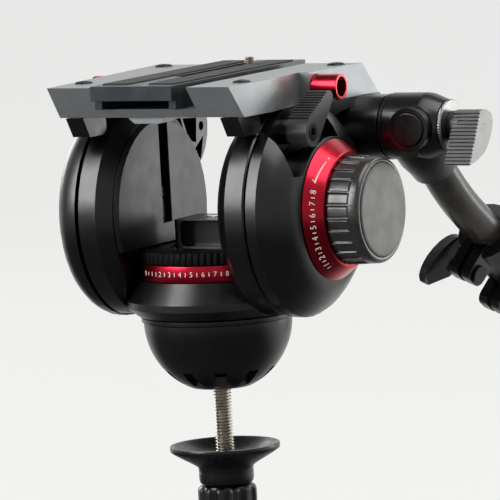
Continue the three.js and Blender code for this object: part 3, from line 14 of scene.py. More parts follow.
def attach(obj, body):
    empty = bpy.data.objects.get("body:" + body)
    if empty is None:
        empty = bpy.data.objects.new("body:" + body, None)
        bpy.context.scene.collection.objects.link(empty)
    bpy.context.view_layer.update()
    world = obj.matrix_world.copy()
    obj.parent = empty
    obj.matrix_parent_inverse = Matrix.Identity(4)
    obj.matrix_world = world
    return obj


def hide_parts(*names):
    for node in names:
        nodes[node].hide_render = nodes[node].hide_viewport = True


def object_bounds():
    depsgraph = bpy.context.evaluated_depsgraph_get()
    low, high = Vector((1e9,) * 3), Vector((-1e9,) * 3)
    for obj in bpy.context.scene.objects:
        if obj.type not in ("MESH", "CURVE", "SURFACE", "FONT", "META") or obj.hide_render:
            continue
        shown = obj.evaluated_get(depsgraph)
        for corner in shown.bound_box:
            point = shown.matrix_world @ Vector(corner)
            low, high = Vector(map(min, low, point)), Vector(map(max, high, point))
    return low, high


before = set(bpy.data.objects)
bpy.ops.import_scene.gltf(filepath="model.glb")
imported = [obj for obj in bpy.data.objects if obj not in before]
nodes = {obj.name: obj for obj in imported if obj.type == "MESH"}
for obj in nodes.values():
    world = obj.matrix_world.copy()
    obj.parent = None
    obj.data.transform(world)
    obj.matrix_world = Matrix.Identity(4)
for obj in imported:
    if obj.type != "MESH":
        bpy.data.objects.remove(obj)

MM = 0.001
SAME_PLACE = 1e-7
cad_box = [list(corner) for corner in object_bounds()]
print("solids:", len(nodes))
print("box in mm:", [[round(value / MM, 1) for value in corner] for corner in cad_box])

# %% [markdown]
# The camera looks down a little, from the front and the handle's side, through a long lens, and it is
# rolled by three degrees, because the object leans a little in its picture. A camera could be aimed
# with a constraint, but three angles written out keep the roll, and a matrix built from them is exact.

# %% Camera
camera_place = (1.46740, -2.60809, 0.36303)
yaw = radians(29.02)
dip = radians(6.28)
roll = radians(3.07)
ahead = Vector((-sin(yaw) * cos(dip), cos(yaw) * cos(dip), -sin(dip)))
level_right = ahead.cross(Vector((0, 0, 1))).normalized()
level_down = ahead.cross(level_right)
picture_right = cos(roll) * level_right + sin(roll) * level_down
picture_down = cos(roll) * level_down - sin(roll) * level_right

camera_data = bpy.data.cameras.new("studio_camera")
camera_data.sensor_width = 36
camera_data.lens = 430.07
camera = bpy.data.objects.new("studio_camera", camera_data)
camera_turn = Matrix((picture_right, -picture_down, -ahead)).transposed().to_4x4()
camera.matrix_world = Matrix.Translation(camera_place) @ camera_turn
bpy.context.scene.collection.objects.link(camera)
bpy.context.scene.camera = camera
print("camera distance in m:", round(camera.matrix_world.translation.length, 2))

# %% [markdown]
# Shader nodes do sums, but a sum of five terms is five nodes and eight links. This class wraps one
# socket, so that Python's own signs make those nodes. Writing the links out would work as well, and
# each formula would then be spread over a page.

# %% Sums with sockets
class Value:
    """A socket of a finish that Python can add, multiply and compare like a number."""

    def __init__(self, finish, socket):
        self.finish = finish
        self.socket = socket

    def sum(self, operation, first, second):
        return self.finish.sum(operation, first, second)

    def __add__(self, other):
        return self.sum("ADD", self, other)

    def __radd__(self, other):
        return self.sum("ADD", other, self)

    def __sub__(self, other):
        return self.sum("SUBTRACT", self, other)

    def __rsub__(self, other):
        return self.sum("SUBTRACT", other, self)

    def __mul__(self, other):
        return self.sum("MULTIPLY", self, other)

    def __rmul__(self, other):
        return self.sum("MULTIPLY", other, self)

    def __truediv__(self, other):
        return self.sum("DIVIDE", self, other)

    def __gt__(self, other):
        return self.sum("GREATER_THAN", self, other)

    def __lt__(self, other):
        return self.sum("LESS_THAN", self, other)


# %% [markdown]
# Every finish is one Principled shader. Noise in the object's own millimetres varies its colour and
# roughness, and a second, finer noise is its grain, so the scale of the grain is right on every piece.

# %% A finish and its parts
def shade(red, green, blue):
    """A colour as a screen shows it, turned into the light that a shader takes."""
    return tuple(((value / 255 + 0.055) / 1.055) ** 2.4 if value > 10 else value / 255 / 12.92
                 for value in (red, green, blue)) + (1.0,)


class Finish:
    """One Principled material. Its node method adds any node, and the others are short for common ones."""

    def __init__(self, name, **plain):
        self.material = bpy.data.materials.new(name)
        self.material.use_nodes = True
        self.tree = self.material.node_tree
        self.tree.nodes.clear()
        self.output = self.tree.nodes.new("ShaderNodeOutputMaterial")
        self.shader = self.tree.nodes.new("ShaderNodeBsdfPrincipled")
        self.tree.links.new(self.shader.outputs[0], self.output.inputs[0])
        self.place = self.node("ShaderNodeTexCoord", output="Object")
        for socket, value in plain.items():
            self.shader.inputs[socket.replace("_", " ")].default_value = value

    def node(self, kind, settings=None, sockets=None, output=0):
        made = self.tree.nodes.new(kind)
        for key, value in (settings or {}).items():
            setattr(made, key, value)
        for key, value in (sockets or {}).items():
            if isinstance(value, Value):
                self.tree.links.new(value.socket, made.inputs[key])
            else:
                made.inputs[key].default_value = value
        return Value(self, made.outputs[output])

    def feed(self, socket, value):
        """Link a value into an input of the shader."""
        self.tree.links.new(value.socket, self.shader.inputs[socket])

    def cloud(self, size, detail=2.0):
        """Noise whose lumps are about so many millimetres across."""
        return self.node("ShaderNodeTexNoise", None, {
            "Vector": self.place, "Scale": 1 / (size * MM), "Detail": detail,
        })

    def along(self, direction):
        """How far a point lies along a direction, in metres."""
        return self.node("ShaderNodeVectorMath", {"operation": "DOT_PRODUCT"}, {
            0: self.place, 1: direction}, 1)

    def far_from(self, spot):
        """How far a point lies from a spot, in metres."""
        return self.node("ShaderNodeVectorMath", {"operation": "DISTANCE"}, {
            0: self.place, 1: spot}, 1)

    def blend(self, share, first, second):
        """The first colour where the share is 0, and the second where it is 1."""
        return self.node("ShaderNodeMix", {"data_type": "RGBA"}, {0: share, 6: first, 7: second}, 2)

    def fade(self, value, low, high):
        """0 at the low value, 1 at the high one, and even between them."""
        return self.node("ShaderNodeMapRange", None, {0: value, 1: low, 2: high, 3: 0.0, 4: 1.0})

    def sum(self, operation, first, second=0.0):
        return self.node("ShaderNodeMath", {"operation": operation}, {0: first, 1: second})

    def grain(self, height, depth):
        """Bump of so many millimetres."""
        self.feed("Normal", self.node("ShaderNodeBump", None, {
            "Height": height, "Distance": depth * MM, "Strength": 1.0,
        }))


def coated(name, low, high, rough, rough_spread, grain_size, grain_depth, patch=9.0, **plain):
    """A finish with two close colours in soft patches, uneven gloss and a fine grain."""
    finish = Finish(name, **plain)
    patches = finish.fade(finish.cloud(patch, 3.0), 0.35, 0.65)
    specks = finish.cloud(grain_size, 2.0)
    finish.first_colour = finish.blend(patches * 0.6 + specks * 0.4, shade(*low), shade(*high))
    finish.feed("Base Color", finish.first_colour)
    finish.feed("Roughness", rough + (patches - 0.5) * rough_spread + (specks - 0.5) * rough_spread)
    finish.grain(specks, grain_depth)
    return finish


print("one wrapper for sockets, one for finishes")

# %% [markdown]
# Everything made here is a mesh from points and faces. One helper welds it, turns all its faces
# outwards, and gives it its finish. Blender's own add-mesh buttons depend on the open window, and
# plain data doesn't.

# %% Meshes from points
def link(data, name):
    """Put an object with this data into the scene."""
    made = bpy.data.objects.new(name, data)
    bpy.context.scene.collection.objects.link(made)
    return made


def mesh_piece(name, points, faces, finish, smooth=True):
    """A welded mesh from points in metres, with its faces turned outwards."""
    data = bpy.data.meshes.new(name)
    data.from_pydata(points, [], faces)
    build = bmesh.new()
    build.from_mesh(data)
    bmesh.ops.remove_doubles(build, verts=build.verts, dist=SAME_PLACE)
    bmesh.ops.dissolve_degenerate(build, edges=build.edges, dist=SAME_PLACE)
    bmesh.ops.recalc_face_normals(build, faces=build.faces)
    for face in build.faces:
        face.smooth = smooth
    build.to_mesh(data)
    build.free()
    data.materials.append(finish.material)
    return link(data, name)


# %% [markdown]
# The studio is one pale sheet that runs from the floor up into a wall through a wide curve. A world
# colour alone could be the background, but the sheet also takes the shadow and shows in the metal.
# Rays from the camera and from glossy surfaces see part of its paleness as plain colour, so the
# background stays even without more light on the object.

# %% Studio sheet
floor_height = cad_box[0][2]
floor_end = 22.0
cove = 4.0
wall_height = 22.0
cove_steps = 12
sheet_profile = [(0.0, floor_height), (0.4, floor_height), (floor_end, floor_height)]
for step in range(1, cove_steps + 1):
    angle = step / cove_steps * pi / 2
    sheet_profile.append((floor_end + cove * sin(angle), floor_height + cove * (1 - cos(angle))))
sheet_profile.append((floor_end + cove, floor_height + wall_height))

paper = Finish("studio_paper", Roughness=0.9)
paper.feed("Base Color", paper.blend(paper.cloud(60, 3.0), shade(233, 233, 231), shade(238, 238, 236)))
camera_path = paper.node("ShaderNodeLightPath", output="Is Camera Ray")
mirrored_path = paper.node("ShaderNodeLightPath", output="Is Glossy Ray")
clear_path = paper.node("ShaderNodeLightPath", output="Is Transmission Ray")

towards_camera = paper.along((0.485, -0.875, 0))
to_the_right = paper.along((0.875, 0.485, 0))
in_front = paper.fade(towards_camera - to_the_right * 0.45, -0.35, -0.1)
distance = paper.node("ShaderNodeVectorMath", {"operation": "LENGTH"}, {0: paper.place}, 1)
# Painted shade: for glossy rays the paper in front glows darker near the object, standing in for the shade on
# the floor in front of and under it.
front_glow_painted_shade = paper.blend(paper.fade(distance, 0.8, 1.7), shade(80, 80, 82), shade(176, 176, 177))
behind = paper.fade(towards_camera, -0.4, -3.2)
even_glow = paper.blend(behind, shade(243, 244, 241), shade(242, 242, 241))
glow_colour = paper.blend(in_front * mirrored_path, even_glow, front_glow_painted_shade)

# A tenth of what the camera sees is lit paper, and that tenth carries the shadow.
seen_as_glow = camera_path * 0.9 + mirrored_path + clear_path
glow = paper.node("ShaderNodeEmission", None, {0: glow_colour})
lit_paper = Value(paper, paper.shader.outputs[0])
mixed = paper.node("ShaderNodeMixShader", None, {0: seen_as_glow, 1: lit_paper, 2: glow})
paper.tree.links.new(mixed.socket, paper.output.inputs[0])

around = 96
sheet_points = [(reach * cos(2 * pi * k / around), reach * sin(2 * pi * k / around), up)
                for reach, up in sheet_profile for k in range(around)]
sheet_faces = [(row * around + k, row * around + (k + 1) % around,
                (row + 1) * around + (k + 1) % around, (row + 1) * around + k)
               for row in range(len(sheet_profile) - 1) for k in range(around)]
studio_sheet = mesh_piece("studio_sheet", sheet_points, sheet_faces, paper)
print("sheet:", len(sheet_profile), "rings of", around, "points")

# %% [markdown]
# Five softboxes: the large one at the front left draws the long highlights on the rims, the top one
# lights the platform, and the others draw the right sides and the left edge. One even sky would light
# everything too, but black paint shows its form only where it mirrors something bright with an edge.

# %% World and lamps
world = bpy.data.worlds.new("studio_world")
bpy.context.scene.world = world
world.use_nodes = True
world.node_tree.nodes["Background"].inputs[0].default_value = (0.9, 0.95, 1.0, 1.0)
world.node_tree.nodes["Background"].inputs[1].default_value = 0.10
bpy.context.scene.view_settings.view_transform = "Standard"


def softbox(name, place, aim, width, height, power):
    """A flat lamp at a place in metres, turned to its aim, with its power in watts."""
    data = bpy.data.lights.new(name, "AREA")
    data.shape = "RECTANGLE"
    data.size = width
    data.size_y = height
    data.energy = power
    lamp = link(data, name)
    lamp.location = place
    lamp.rotation_euler = (Vector(aim) - Vector(place)).to_track_quat("-Z", "Y").to_euler()


middle = (0, 0, 0.05)
softbox("right_rear_softbox", (1.0, 1.45, 0.85), middle, 0.7, 0.9, 4)
softbox("low_right_softbox", (0.64, 0.95, 0.03), (0.1, 0, 0.06), 0.36, 0.3, 1.35)
softbox("top_softbox", (0.7, 0.1, 1.65), middle, 1.5, 1.6, 26)
softbox("left_rear_softbox", (-1.5, 0.9, 0.5), middle, 0.8, 0.7, 7)
softbox("front_left_softbox", (-0.943, -1.452, 1.02), middle, 0.9, 1.5, 36)
print("softboxes:", len(bpy.data.lights))

# %% [markdown]
# The castings are painted satin black with a faint grain. The platform is blasted and anodised grey.
# Rings and pull tubes are dyed red, knobs are rubber and levers are moulded plastic. One helper makes
# them all from two close colours and a roughness. The numbers are the two colours, the roughness and
# its spread, and the size and the depth of the grain in millimetres.

# %% Finishes
black_paint = coated("satin_black_paint", (5, 6, 6), (10, 11, 11), 0.31, 0.05, 0.35, 0.007,
                     Specular_IOR_Level=0.65)
cover_plastic = coated("cover_plastic", (15, 16, 16), (20, 21, 20), 0.37, 0.04, 0.5, 0.005)
black_plastic = coated("black_plastic", (11, 11, 11), (18, 18, 17), 0.30, 0.10, 0.6, 0.008)
knob_rubber = coated("knob_rubber", (34, 35, 33), (42, 43, 40), 0.30, 0.08, 0.4, 0.008,
                     Specular_IOR_Level=0.8)
# Painted shade: the pan knob's rubber is black, and it is darker still here for the shadow it sits in.
painted_shade_rubber = coated("ribbed_rubber_painted_shade", (6, 6, 6), (11, 11, 10), 0.55, 0.08, 0.4, 0.01,
                        Specular_IOR_Level=0.15)
soft_rubber = coated("soft_rubber", (20, 21, 21), (32, 32, 31), 0.62, 0.12, 0.5, 0.04)
lever_plastic = coated("lever_plastic", (48, 51, 49), (59, 61, 58), 0.40, 0.10, 0.45, 0.012)
cap_plastic = coated("cap_plastic", (86, 88, 83), (95, 97, 91), 0.42, 0.08, 0.5, 0.008)
bronze = coated("sintered_bronze", (128, 98, 58), (150, 116, 70), 0.42, 0.12, 0.3, 0.02, Metallic=1.0)
grey_anodised = coated("grey_anodised", (142, 146, 148), (152, 155, 156), 0.38, 0.05, 0.16, 0.006,
                       Metallic=0.65)
plate_anodised = coated("plate_anodised", (56, 61, 65), (68, 72, 75), 0.36, 0.06, 0.18, 0.008,
                        Metallic=0.8)
red_anodised = coated("red_anodised", (186, 12, 40), (200, 20, 50), 0.32, 0.03, 0.2, 0.0005, Metallic=1.0,
                      Coat_Weight=0.35, Coat_Roughness=0.2)
steel = coated("stainless_steel", (214, 206, 194), (230, 222, 210), 0.22, 0.10, 0.4, 0.003, Metallic=1.0)
dull_steel = coated("dull_steel", (132, 132, 131), (150, 150, 148), 0.34, 0.10, 0.3, 0.004, Metallic=1.0)
dark_steel = coated("blackened_steel", (34, 35, 36), (48, 48, 48), 0.35, 0.12, 0.3, 0.01, Metallic=0.7)
tube_paint = coated("brown_black_paint", (37, 34, 31), (48, 44, 40), 0.30, 0.08, 0.35, 0.008)
white_ink = coated("white_ink", (206, 203, 197), (222, 219, 213), 0.5, 0.1, 0.3, 0.01)
print("finishes:", len([material for material in bpy.data.materials if material.use_nodes]))

# %% [markdown]
# Two pieces show more than one colour. The clamp lever's outer face carries a pale painted highlight, which
# stands in for the lamps' reflection on it, and a dark dot, and the level shows a ring, a bubble and its
# green liquid. Distances from a point draw them all.
# They could be pieces of their own, but they have no thickness that a hand would feel.

# %% Clamp lever and level
clamp_face = 0.12775
clamp_dot = (0.1281, 0.0544, 0.0922)
clamp_dot_radius = 0.0006
clamp_paint = coated("clamp_lever_paint", (20, 22, 21), (28, 30, 28), 0.34, 0.05, 0.4, 0.004)
across = clamp_paint.node("ShaderNodeSeparateXYZ", None, {0: clamp_paint.place})
# Painted highlight: the pale outer face stands in for the reflection of the lamps on the lever.
painted_face_highlight = clamp_paint.blend(clamp_paint.cloud(4, 3.0), shade(142, 144, 141), shade(162, 163, 160))
face_with_painted_highlight = clamp_paint.blend(across > clamp_face, clamp_paint.first_colour, painted_face_highlight)
in_dot = clamp_paint.far_from(clamp_dot) < clamp_dot_radius
clamp_paint.feed("Base Color", clamp_paint.blend(in_dot, face_with_painted_highlight, shade(12, 12, 12)))

level_middle = (0.0, 0.006, 0.0517)
bubble_middle = (0.0006, 0.0064, 0.0517)
bubble_radius = 0.0016
circle_inside = 0.00235
circle_outside = 0.00265
glass_radius = 0.0049
level_glass = Finish("level_glass", Roughness=0.06, Coat_Weight=1.0)
from_middle = level_glass.far_from(level_middle)
from_bubble = level_glass.far_from(bubble_middle)
liquid = level_glass.blend(level_glass.cloud(3), shade(150, 186, 62), shade(172, 204, 84))
circle = (from_middle > circle_inside) * (from_middle < circle_outside)
with_bubble = level_glass.blend((from_bubble < bubble_radius) * 0.8, liquid, shade(226, 236, 190))
with_circle = level_glass.blend(circle, with_bubble, shade(16, 18, 14))
with_rim = level_glass.blend(from_middle > glass_radius, with_circle, shade(18, 18, 18))
level_glass.feed("Base Color", with_rim)
print("finishes with two colours or more:", clamp_paint.material.name, level_glass.material.name)

# %% [markdown]
# The solids have sharp edges, and no made thing has. Welding their triangles, dissolving the flat ones
# and then a small bevel gives each edge the thin bright line that tells the eye its size. A Bevel
# shader node could fake it, but then the edges would stay sharp in the mesh itself.

# %% Round the edges of a solid
def dress(name, finish, edge):
    """Give a solid its finish, and round its edges by so many millimetres."""
    piece = nodes[name]
    for attribute in ("custom_normal", "sharp_edge", "sharp_face"):
        if attribute in piece.data.attributes:
            piece.data.attributes.remove(piece.data.attributes[attribute])
    for polygon in piece.data.polygons:
        polygon.use_smooth = True
    for slot in piece.material_slots:
        slot.material = finish.material
    weld = piece.modifiers.new("Weld", "WELD")
    weld.merge_threshold = 0.002 * MM
    flats = piece.modifiers.new("Flats", "DECIMATE")
    flats.decimate_type = "DISSOLVE"
    flats.angle_limit = radians(1)
    bevel = piece.modifiers.new("Edge", "BEVEL")
    bevel.width = edge * MM
    bevel.segments = 2
    bevel.limit_method = "ANGLE"
    bevel.angle_limit = radians(30)
    bevel.use_clamp_overlap = True
    bevel.harden_normals = True


plan = {
    "pan_base_plate": (plate_anodised, 0.3), "pan_spindle": (steel, 0.3),
    "pan_bearing": (bronze, 0.2), "pan_drag_rotor": (steel, 0.3), "yoke": (black_paint, 0.7),
    "left_inner_cover": (cover_plastic, 0.3), "right_inner_cover": (cover_plastic, 0.3),
    "pan_housing": (black_paint, 0.6), "pan_lock_lever": (lever_plastic, 0.8),
    "tilt_bearing_right": (dark_steel, 0.2), "tilt_bearing_left": (dark_steel, 0.2),
    "tilt_drag_cartridge": (plate_anodised, 0.4), "counterbalance_drum": (steel, 0.4),
    "platform": (grey_anodised, 0.5), "right_side_arm": (black_paint, 0.5),
    "left_side_arm": (black_paint, 0.5), "tilt_axle_right": (dark_steel, 0.3),
    "tilt_axle_left": (dark_steel, 0.3), "camera_plate": (plate_anodised, 0.4),
    "plate_pad_left": (soft_rubber, 0.3), "plate_pad_right": (soft_rubber, 0.3),
    "plate_jaw": (grey_anodised, 0.4), "plate_release_tube": (red_anodised, 0.3),
    "safety_pin": (steel, 0.2), "safety_release_tube": (red_anodised, 0.3),
    "tilt_lock_spindle": (steel, 0.2), "tilt_lock_lever": (lever_plastic, 0.4),
    "tilt_lock_screw": (dark_steel, 0.2), "handle_head": (black_paint, 0.5),
    "handle_head_cover": (black_paint, 0.5), "handle_head_plug": (black_plastic, 0.8),
    "handle_clamp_lever": (clamp_paint, 0.4), "handle_clamp_bolt": (steel, 0.3),
    "handle_collar": (black_plastic, 0.6), "collar_bolt": (dark_steel, 0.3),
    "collar_knob": (knob_rubber, 0.5),
}
for name, (finish, edge) in plan.items():
    dress(name, finish, edge)
print("dressed:", len(plan), "left for the turned pieces:", len(set(nodes) - set(plan)))

# %% [markdown]
# Knobs, rings and cups are turned shapes, and many have ribs or flutes. A plain lathe gives the body.
# Here each column round the axis also says how deep its groove is, and each row says how much of that
# groove it takes, so one helper turns a fluted grip with rounded groove ends in a single clean mesh.

# %% Turned pieces
UP = Matrix.Identity(4)
SIDEWAYS = Matrix(((0, 0, 1, 0), (1, 0, 0, 0), (0, 1, 0, 55.5), (0, 0, 0, 1)))


def plain_columns(count):
    """Columns of a plain lathe, with no groove."""
    return [(2 * pi * k / count, 0.0) for k in range(count)]


PLAIN = plain_columns(96)


def ribbed_columns(count, profile, start=0.0):
    """The profile repeats round the turn: pairs of place within a pitch and share of the groove's depth."""
    pitch = 2 * pi / count
    return [(start + (k + place) * pitch, share) for k in range(count) for place, share in profile]


def turned(name, rows, finish, body, place=UP, columns=PLAIN, replaces=None):
    """Rows hold radius, height, groove depth and how far the groove sinks the row."""
    points = []
    for radius, height, depth, sink in [tuple(row) + (0.0,) * (4 - len(row)) for row in rows]:
        for angle, share in columns:
            reach = radius - depth * share
            local = Vector((reach * cos(angle), reach * sin(angle), height - sink * share))
            points.append(place @ local * MM)
    wide = len(columns)
    closed = rows[0][0] > 0
    faces = []
    for row in range(len(rows) if closed else len(rows) - 1):
        low = row * wide
        high = (row + 1) % len(rows) * wide
        for column in range(wide):
            after = (column + 1) % wide
            faces.append((low + column, low + after, high + after, high + column))
    piece = mesh_piece(name, points, faces, finish)
    sharpen(piece)
    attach(piece, body)
    if replaces:
        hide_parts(replaces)
    return piece


def sharpen(piece, corner=38):
    """Smooth shading, except across real corners."""
    build = bmesh.new()
    build.from_mesh(piece.data)
    for edge in build.edges:
        edge.smooth = len(edge.link_faces) == 2 and edge.calc_face_angle(0) < radians(corner)
    build.to_mesh(piece.data)
    build.free()


print("columns of a plain lathe:", len(PLAIN))

# %% [markdown]
# The ball is a turned shell with a foot, a rim and a hollow inside, and ten drain slots are cut into
# its lower edge. Grooves in the columns would sink the slots, but only a cut leaves their flat sides,
# and a small bevel then catches the light along them.

# %% Half ball
BOX_FACES = [(0, 1, 3, 2), (4, 6, 7, 5), (0, 4, 5, 1), (2, 3, 7, 6), (0, 2, 6, 4), (1, 5, 7, 3)]


def carved(piece, cutters):
    """Cut boxes out of a piece, then keep only the finished mesh."""
    for corners in cutters:
        cutter = mesh_piece("cutter", corners, BOX_FACES, black_paint, smooth=False)
        cut = piece.modifiers.new("Cut", "BOOLEAN")
        cut.operation = "DIFFERENCE"
        cut.solver = "EXACT"
        cut.object = cutter
        graph = bpy.context.evaluated_depsgraph_get()
        finished = bpy.data.meshes.new_from_object(piece.evaluated_get(graph))
        piece.modifiers.clear()
        piece.data = finished
        bpy.data.objects.remove(cutter)
    sharpen(piece)


slot_start = 11
slot_count = 10
ball_radius = 37.5
ball_depth = 34.4
ball_inside = 33.2
ball_rows = [(5.05, -ball_depth), (14.4, -ball_depth)]
foot_angle = asin(ball_depth / ball_radius)
for step in range(29):
    angle = -foot_angle * (1 - step / 28) + 0.012 * (1 - step / 28)
    ball_rows.append((ball_radius * cos(angle), ball_radius * sin(angle)))
ball_rows += [(38.2, 0.25), (38.55, 0.5), (38.6, 0.8), (38.6, 2.6), (38.2, 3.0), (34.3, 3.0), (34.3, 0.0),
              (27.0, 0.0), (27.0, -3.0)]
inside_end = asin((ball_depth - 4.3) / ball_inside)
for step in range(13):
    angle = -asin(3.0 / ball_inside) - step / 12 * (inside_end - asin(3.0 / ball_inside))
    ball_rows.append((ball_inside * cos(angle), ball_inside * sin(angle)))
ball_rows += [(9.0, -30.1), (9.0, -16.1), (5.05, -16.1)]
half_ball = turned("half_ball_turned", ball_rows, black_paint, "base", columns=plain_columns(160),
                   replaces="half_ball")
slots = []
for number in range(slot_count):
    slot_turn = Matrix.Rotation(radians(360 / slot_count * number + slot_start), 4, "Z")
    slots.append([slot_turn @ Vector((reach, side, up)) * MM
                  for reach in (18.5, 30.0) for side in (-3.0, 3.0) for up in (-36.0, -24.5)])
carved(half_ball, slots)
soften = half_ball.modifiers.new("Edge", "BEVEL")
soften.width = 0.35 * MM
soften.segments = 2
soften.limit_method = "ANGLE"
soften.angle_limit = radians(40)
print("half ball:", len(ball_rows), "rows,", len(slots), "slots")

# %% [markdown]
# The cup presses the bowl from below, and the fluted knob under it runs on the stud. The cup has a fine
# groove where it is turned in two steps. The flutes end in round ends, because the rows near both ends
# take less and less of the groove.

# %% Tie-down cup and knob
turned("tie_down_cup_turned", [
    (5.05, -84.3), (11.1, -84.3), (12.6, -83.9), (13.55, -82.9), (13.9, -81.2), (13.9, -77.9),
    (13.72, -77.75), (13.9, -77.6), (13.9, -75.9), (14.2, -75.2), (15.2, -74.3), (18.1, -72.5),
    (21.8, -70.45), (25.1, -68.5), (26.9, -67.3), (27.6, -66.8), (27.9, -66.2), (27.9, -64.5),
    (27.7, -64.1), (27.3, -64.0), (26.3, -64.0), (25.8, -64.2), (23.4, -65.6), (20.0, -67.4),
    (16.0, -69.2), (11.6, -70.4), (8.0, -70.9), (5.05, -71.0),
], black_plastic, "tie_down_cup_body", replaces="tie_down_cup")

flute = [(0.0, 1.0), (0.1, 0.9), (0.2, 0.6), (0.28, 0.2), (0.33, 0.0), (0.42, 0.0), (0.5, 0.0),
         (0.58, 0.0), (0.67, 0.0), (0.72, 0.2), (0.8, 0.6), (0.9, 0.9)]
turned("tie_down_knob_fluted", [
    (0, -144.6), (5.05, -144.6), (5.05, -84.6), (12.1, -84.6), (13.3, -84.8), (14.2, -85.5, 0.7),
    (14.8, -86.4, 1.3), (15.1, -87.6, 1.6), (15.1, -110, 1.6), (15.1, -153.6, 1.6), (15.1, -155.2, 1.0),
    (15.1, -156.2, 0.3), (15.1, -156.8), (15.1, -159.6), (14.6, -161.2), (13.6, -162.2), (12.1, -162.6),
    (0, -162.6),
], black_plastic, "tie_down_knob_body", columns=ribbed_columns(12, flute),
    replaces="tie_down_knob")

print("tie-down: cup and fluted knob")

# %% [markdown]
# The pan knob has fine teeth like a coin, and the tilt knob has broad lands with a narrow raised rib
# between them. Its rib profile goes a little past the full groove depth at both feet of a rib, which
# leaves the dark line beside each one.

# %% Pan knob, scale rings and tilt knob
fine_rib = [(0.0, 0.0), (0.3, 0.0), (0.42, 0.7), (0.5, 1.0), (0.72, 1.0), (0.88, 0.7)]
turned("pan_drag_knob_ribbed", [
    (22.3, 31.3), (37.4, 31.3), (38.2, 31.5, 0.4), (38.5, 32.0, 0.7), (38.5, 36.7, 0.7), (38.2, 37.2, 0.4),
    (37.4, 37.5), (22.3, 37.5),
], painted_shade_rubber, "pan_drag_knob_body", columns=ribbed_columns(72, fine_rib),
    replaces="pan_drag_knob")
turned("pan_scale_ring_turned", [
    (22.3, 22.6), (38.4, 22.6), (38.85, 22.75), (39.0, 23.2), (39.0, 30.3), (38.85, 30.8), (38.4, 31.0),
    (22.3, 31.0),
], red_anodised, "yoke_body", columns=plain_columns(144), replaces="pan_scale_ring")
turned("tilt_scale_ring_turned", [
    (20.0, 70.1), (34.7, 70.1), (35.1, 70.25), (35.15, 70.6), (29.15, 78.5), (28.75, 78.9), (28.3, 79.0),
    (20.0, 79.0),
], red_anodised, "tilt_body", SIDEWAYS, plain_columns(160), "tilt_scale_ring")

rib = [
    (0.0, 1.0), (0.12, 1.0), (0.25, 1.0), (0.34, 1.0), (0.37, 1.15), (0.4, 1.0), (0.425, 0.4),
    (0.445, 0.1), (0.47, 0.0), (0.53, 0.0), (0.555, 0.1), (0.575, 0.4), (0.6, 1.0), (0.63, 1.15),
    (0.66, 1.0), (0.75, 1.0), (0.88, 1.0),
]
turned("tilt_drag_knob_ribbed", [
    (0, 70.1), (12.0, 70.1), (12.0, 79.3), (24.0, 79.3), (26.9, 79.3, 0.5), (27.45, 79.5, 0.9),
    (27.6, 79.9, 1.0), (27.4, 82.8, 1.0), (27.2, 86.6, 0.95), (27.0, 89.9, 0.85), (26.97, 90.6, 0.75),
    (26.95, 91.1, 0.3), (26.92, 91.4, 0.05), (26.9, 91.7), (26.7, 94.6), (26.5, 95.5), (26.05, 96.2),
    (25.2, 96.65), (24.6, 96.7), (23.95, 96.6), (23.7, 96.3), (23.7, 94.7), (0, 94.7),
], knob_rubber, "tilt_drag_knob_body", SIDEWAYS, ribbed_columns(25, rib, pi / 2),
    "tilt_drag_knob")
turned("tilt_knob_cap_turned", [
    (0, 95.0), (23.3, 95.0), (23.4, 95.1), (23.4, 96.9), (23.25, 97.2), (22.8, 97.36), (22.0, 97.4),
    (10.0, 97.4), (0, 97.4),
], cap_plastic, "tilt_drag_knob_body", SIDEWAYS, plain_columns(144), "tilt_knob_cap")

print("pan knob, tilt knob with its cap, and two rings")

# %% [markdown]
# The same helper turns shapes about the axis of the tilt and of the handle. On the toothed rings only
# the height sinks, so the teeth lie on their faces, as they do where two such rings lock together.

# %% Counterbalance dial and toothed rings
LEFTWAYS = Matrix(((0, 0, -1, 0), (1, 0, 0, 0), (0, 1, 0, 44.5), (0, 0, 0, 1)))
LEFT_SWING = Matrix(((0, 0, -1, 0), (1, 0, 0, 55.0), (0, 1, 0, 91.5), (0, 0, 0, 1)))
RIGHT_SWING = Matrix(((0, 0, 1, 0), (1, 0, 0, 55.0), (0, 1, 0, 91.5), (0, 0, 0, 1)))
dial_flute = [(0.0, 0.0), (0.3, 0.0), (0.58, 0.0), (0.64, 0.15), (0.68, 0.7), (0.72, 1.0), (0.9, 1.0),
              (0.94, 0.7), (0.98, 0.15)]
turned("counterbalance_dial_fluted", [
    (0, 63.3), (29.0, 63.3), (29.7, 63.5, 0.8), (30.0, 64.0, 1.3), (30.0, 68.3, 1.4), (29.6, 69.1, 1.1),
    (28.6, 69.6, 0.4), (27.6, 69.75), (25.0, 69.8), (24.6, 69.5), (24.2, 69.1), (10.0, 69.1), (9.6, 69.3),
    (9.2, 69.7), (8.6, 69.8), (0, 69.8),
], knob_rubber, "counterbalance_dial_body", LEFTWAYS, ribbed_columns(24, dial_flute),
    "counterbalance_dial")
tooth = [(0.0, 0.0), (0.12, 0.1), (0.5, 1.0), (0.88, 0.1)]
toothed = [
    (8.0, 75.8), (16.3, 75.8), (16.5, 76.0), (16.5, 77.1), (16.4, 77.95, 0, 0.7), (8.0, 77.95, 0, 0.4),
]
turned("rosette_right_toothed", toothed, dark_steel, "tilt_body", RIGHT_SWING, ribbed_columns(48, tooth),
       "rosette_right")
turned("rosette_left_toothed", toothed, steel, "tilt_body", LEFT_SWING, ribbed_columns(48, tooth),
       "rosette_left")
turned("clamp_rosette_knurled", [
    (4.3, 107.9), (13.0, 107.9), (13.4, 108.2, 0.25), (13.4, 109.5, 0.25), (13.0, 109.9), (4.3, 109.9),
], dull_steel, "handle_body", RIGHT_SWING, ribbed_columns(60, tooth), "clamp_rosette")

print("dial and three toothed rings")

# %% [markdown]
# The sockets of the four domed screws are hexagons. A hexagon is a circle whose radius shrinks and
# grows six times round the turn, so the groove share of each column can hold it.

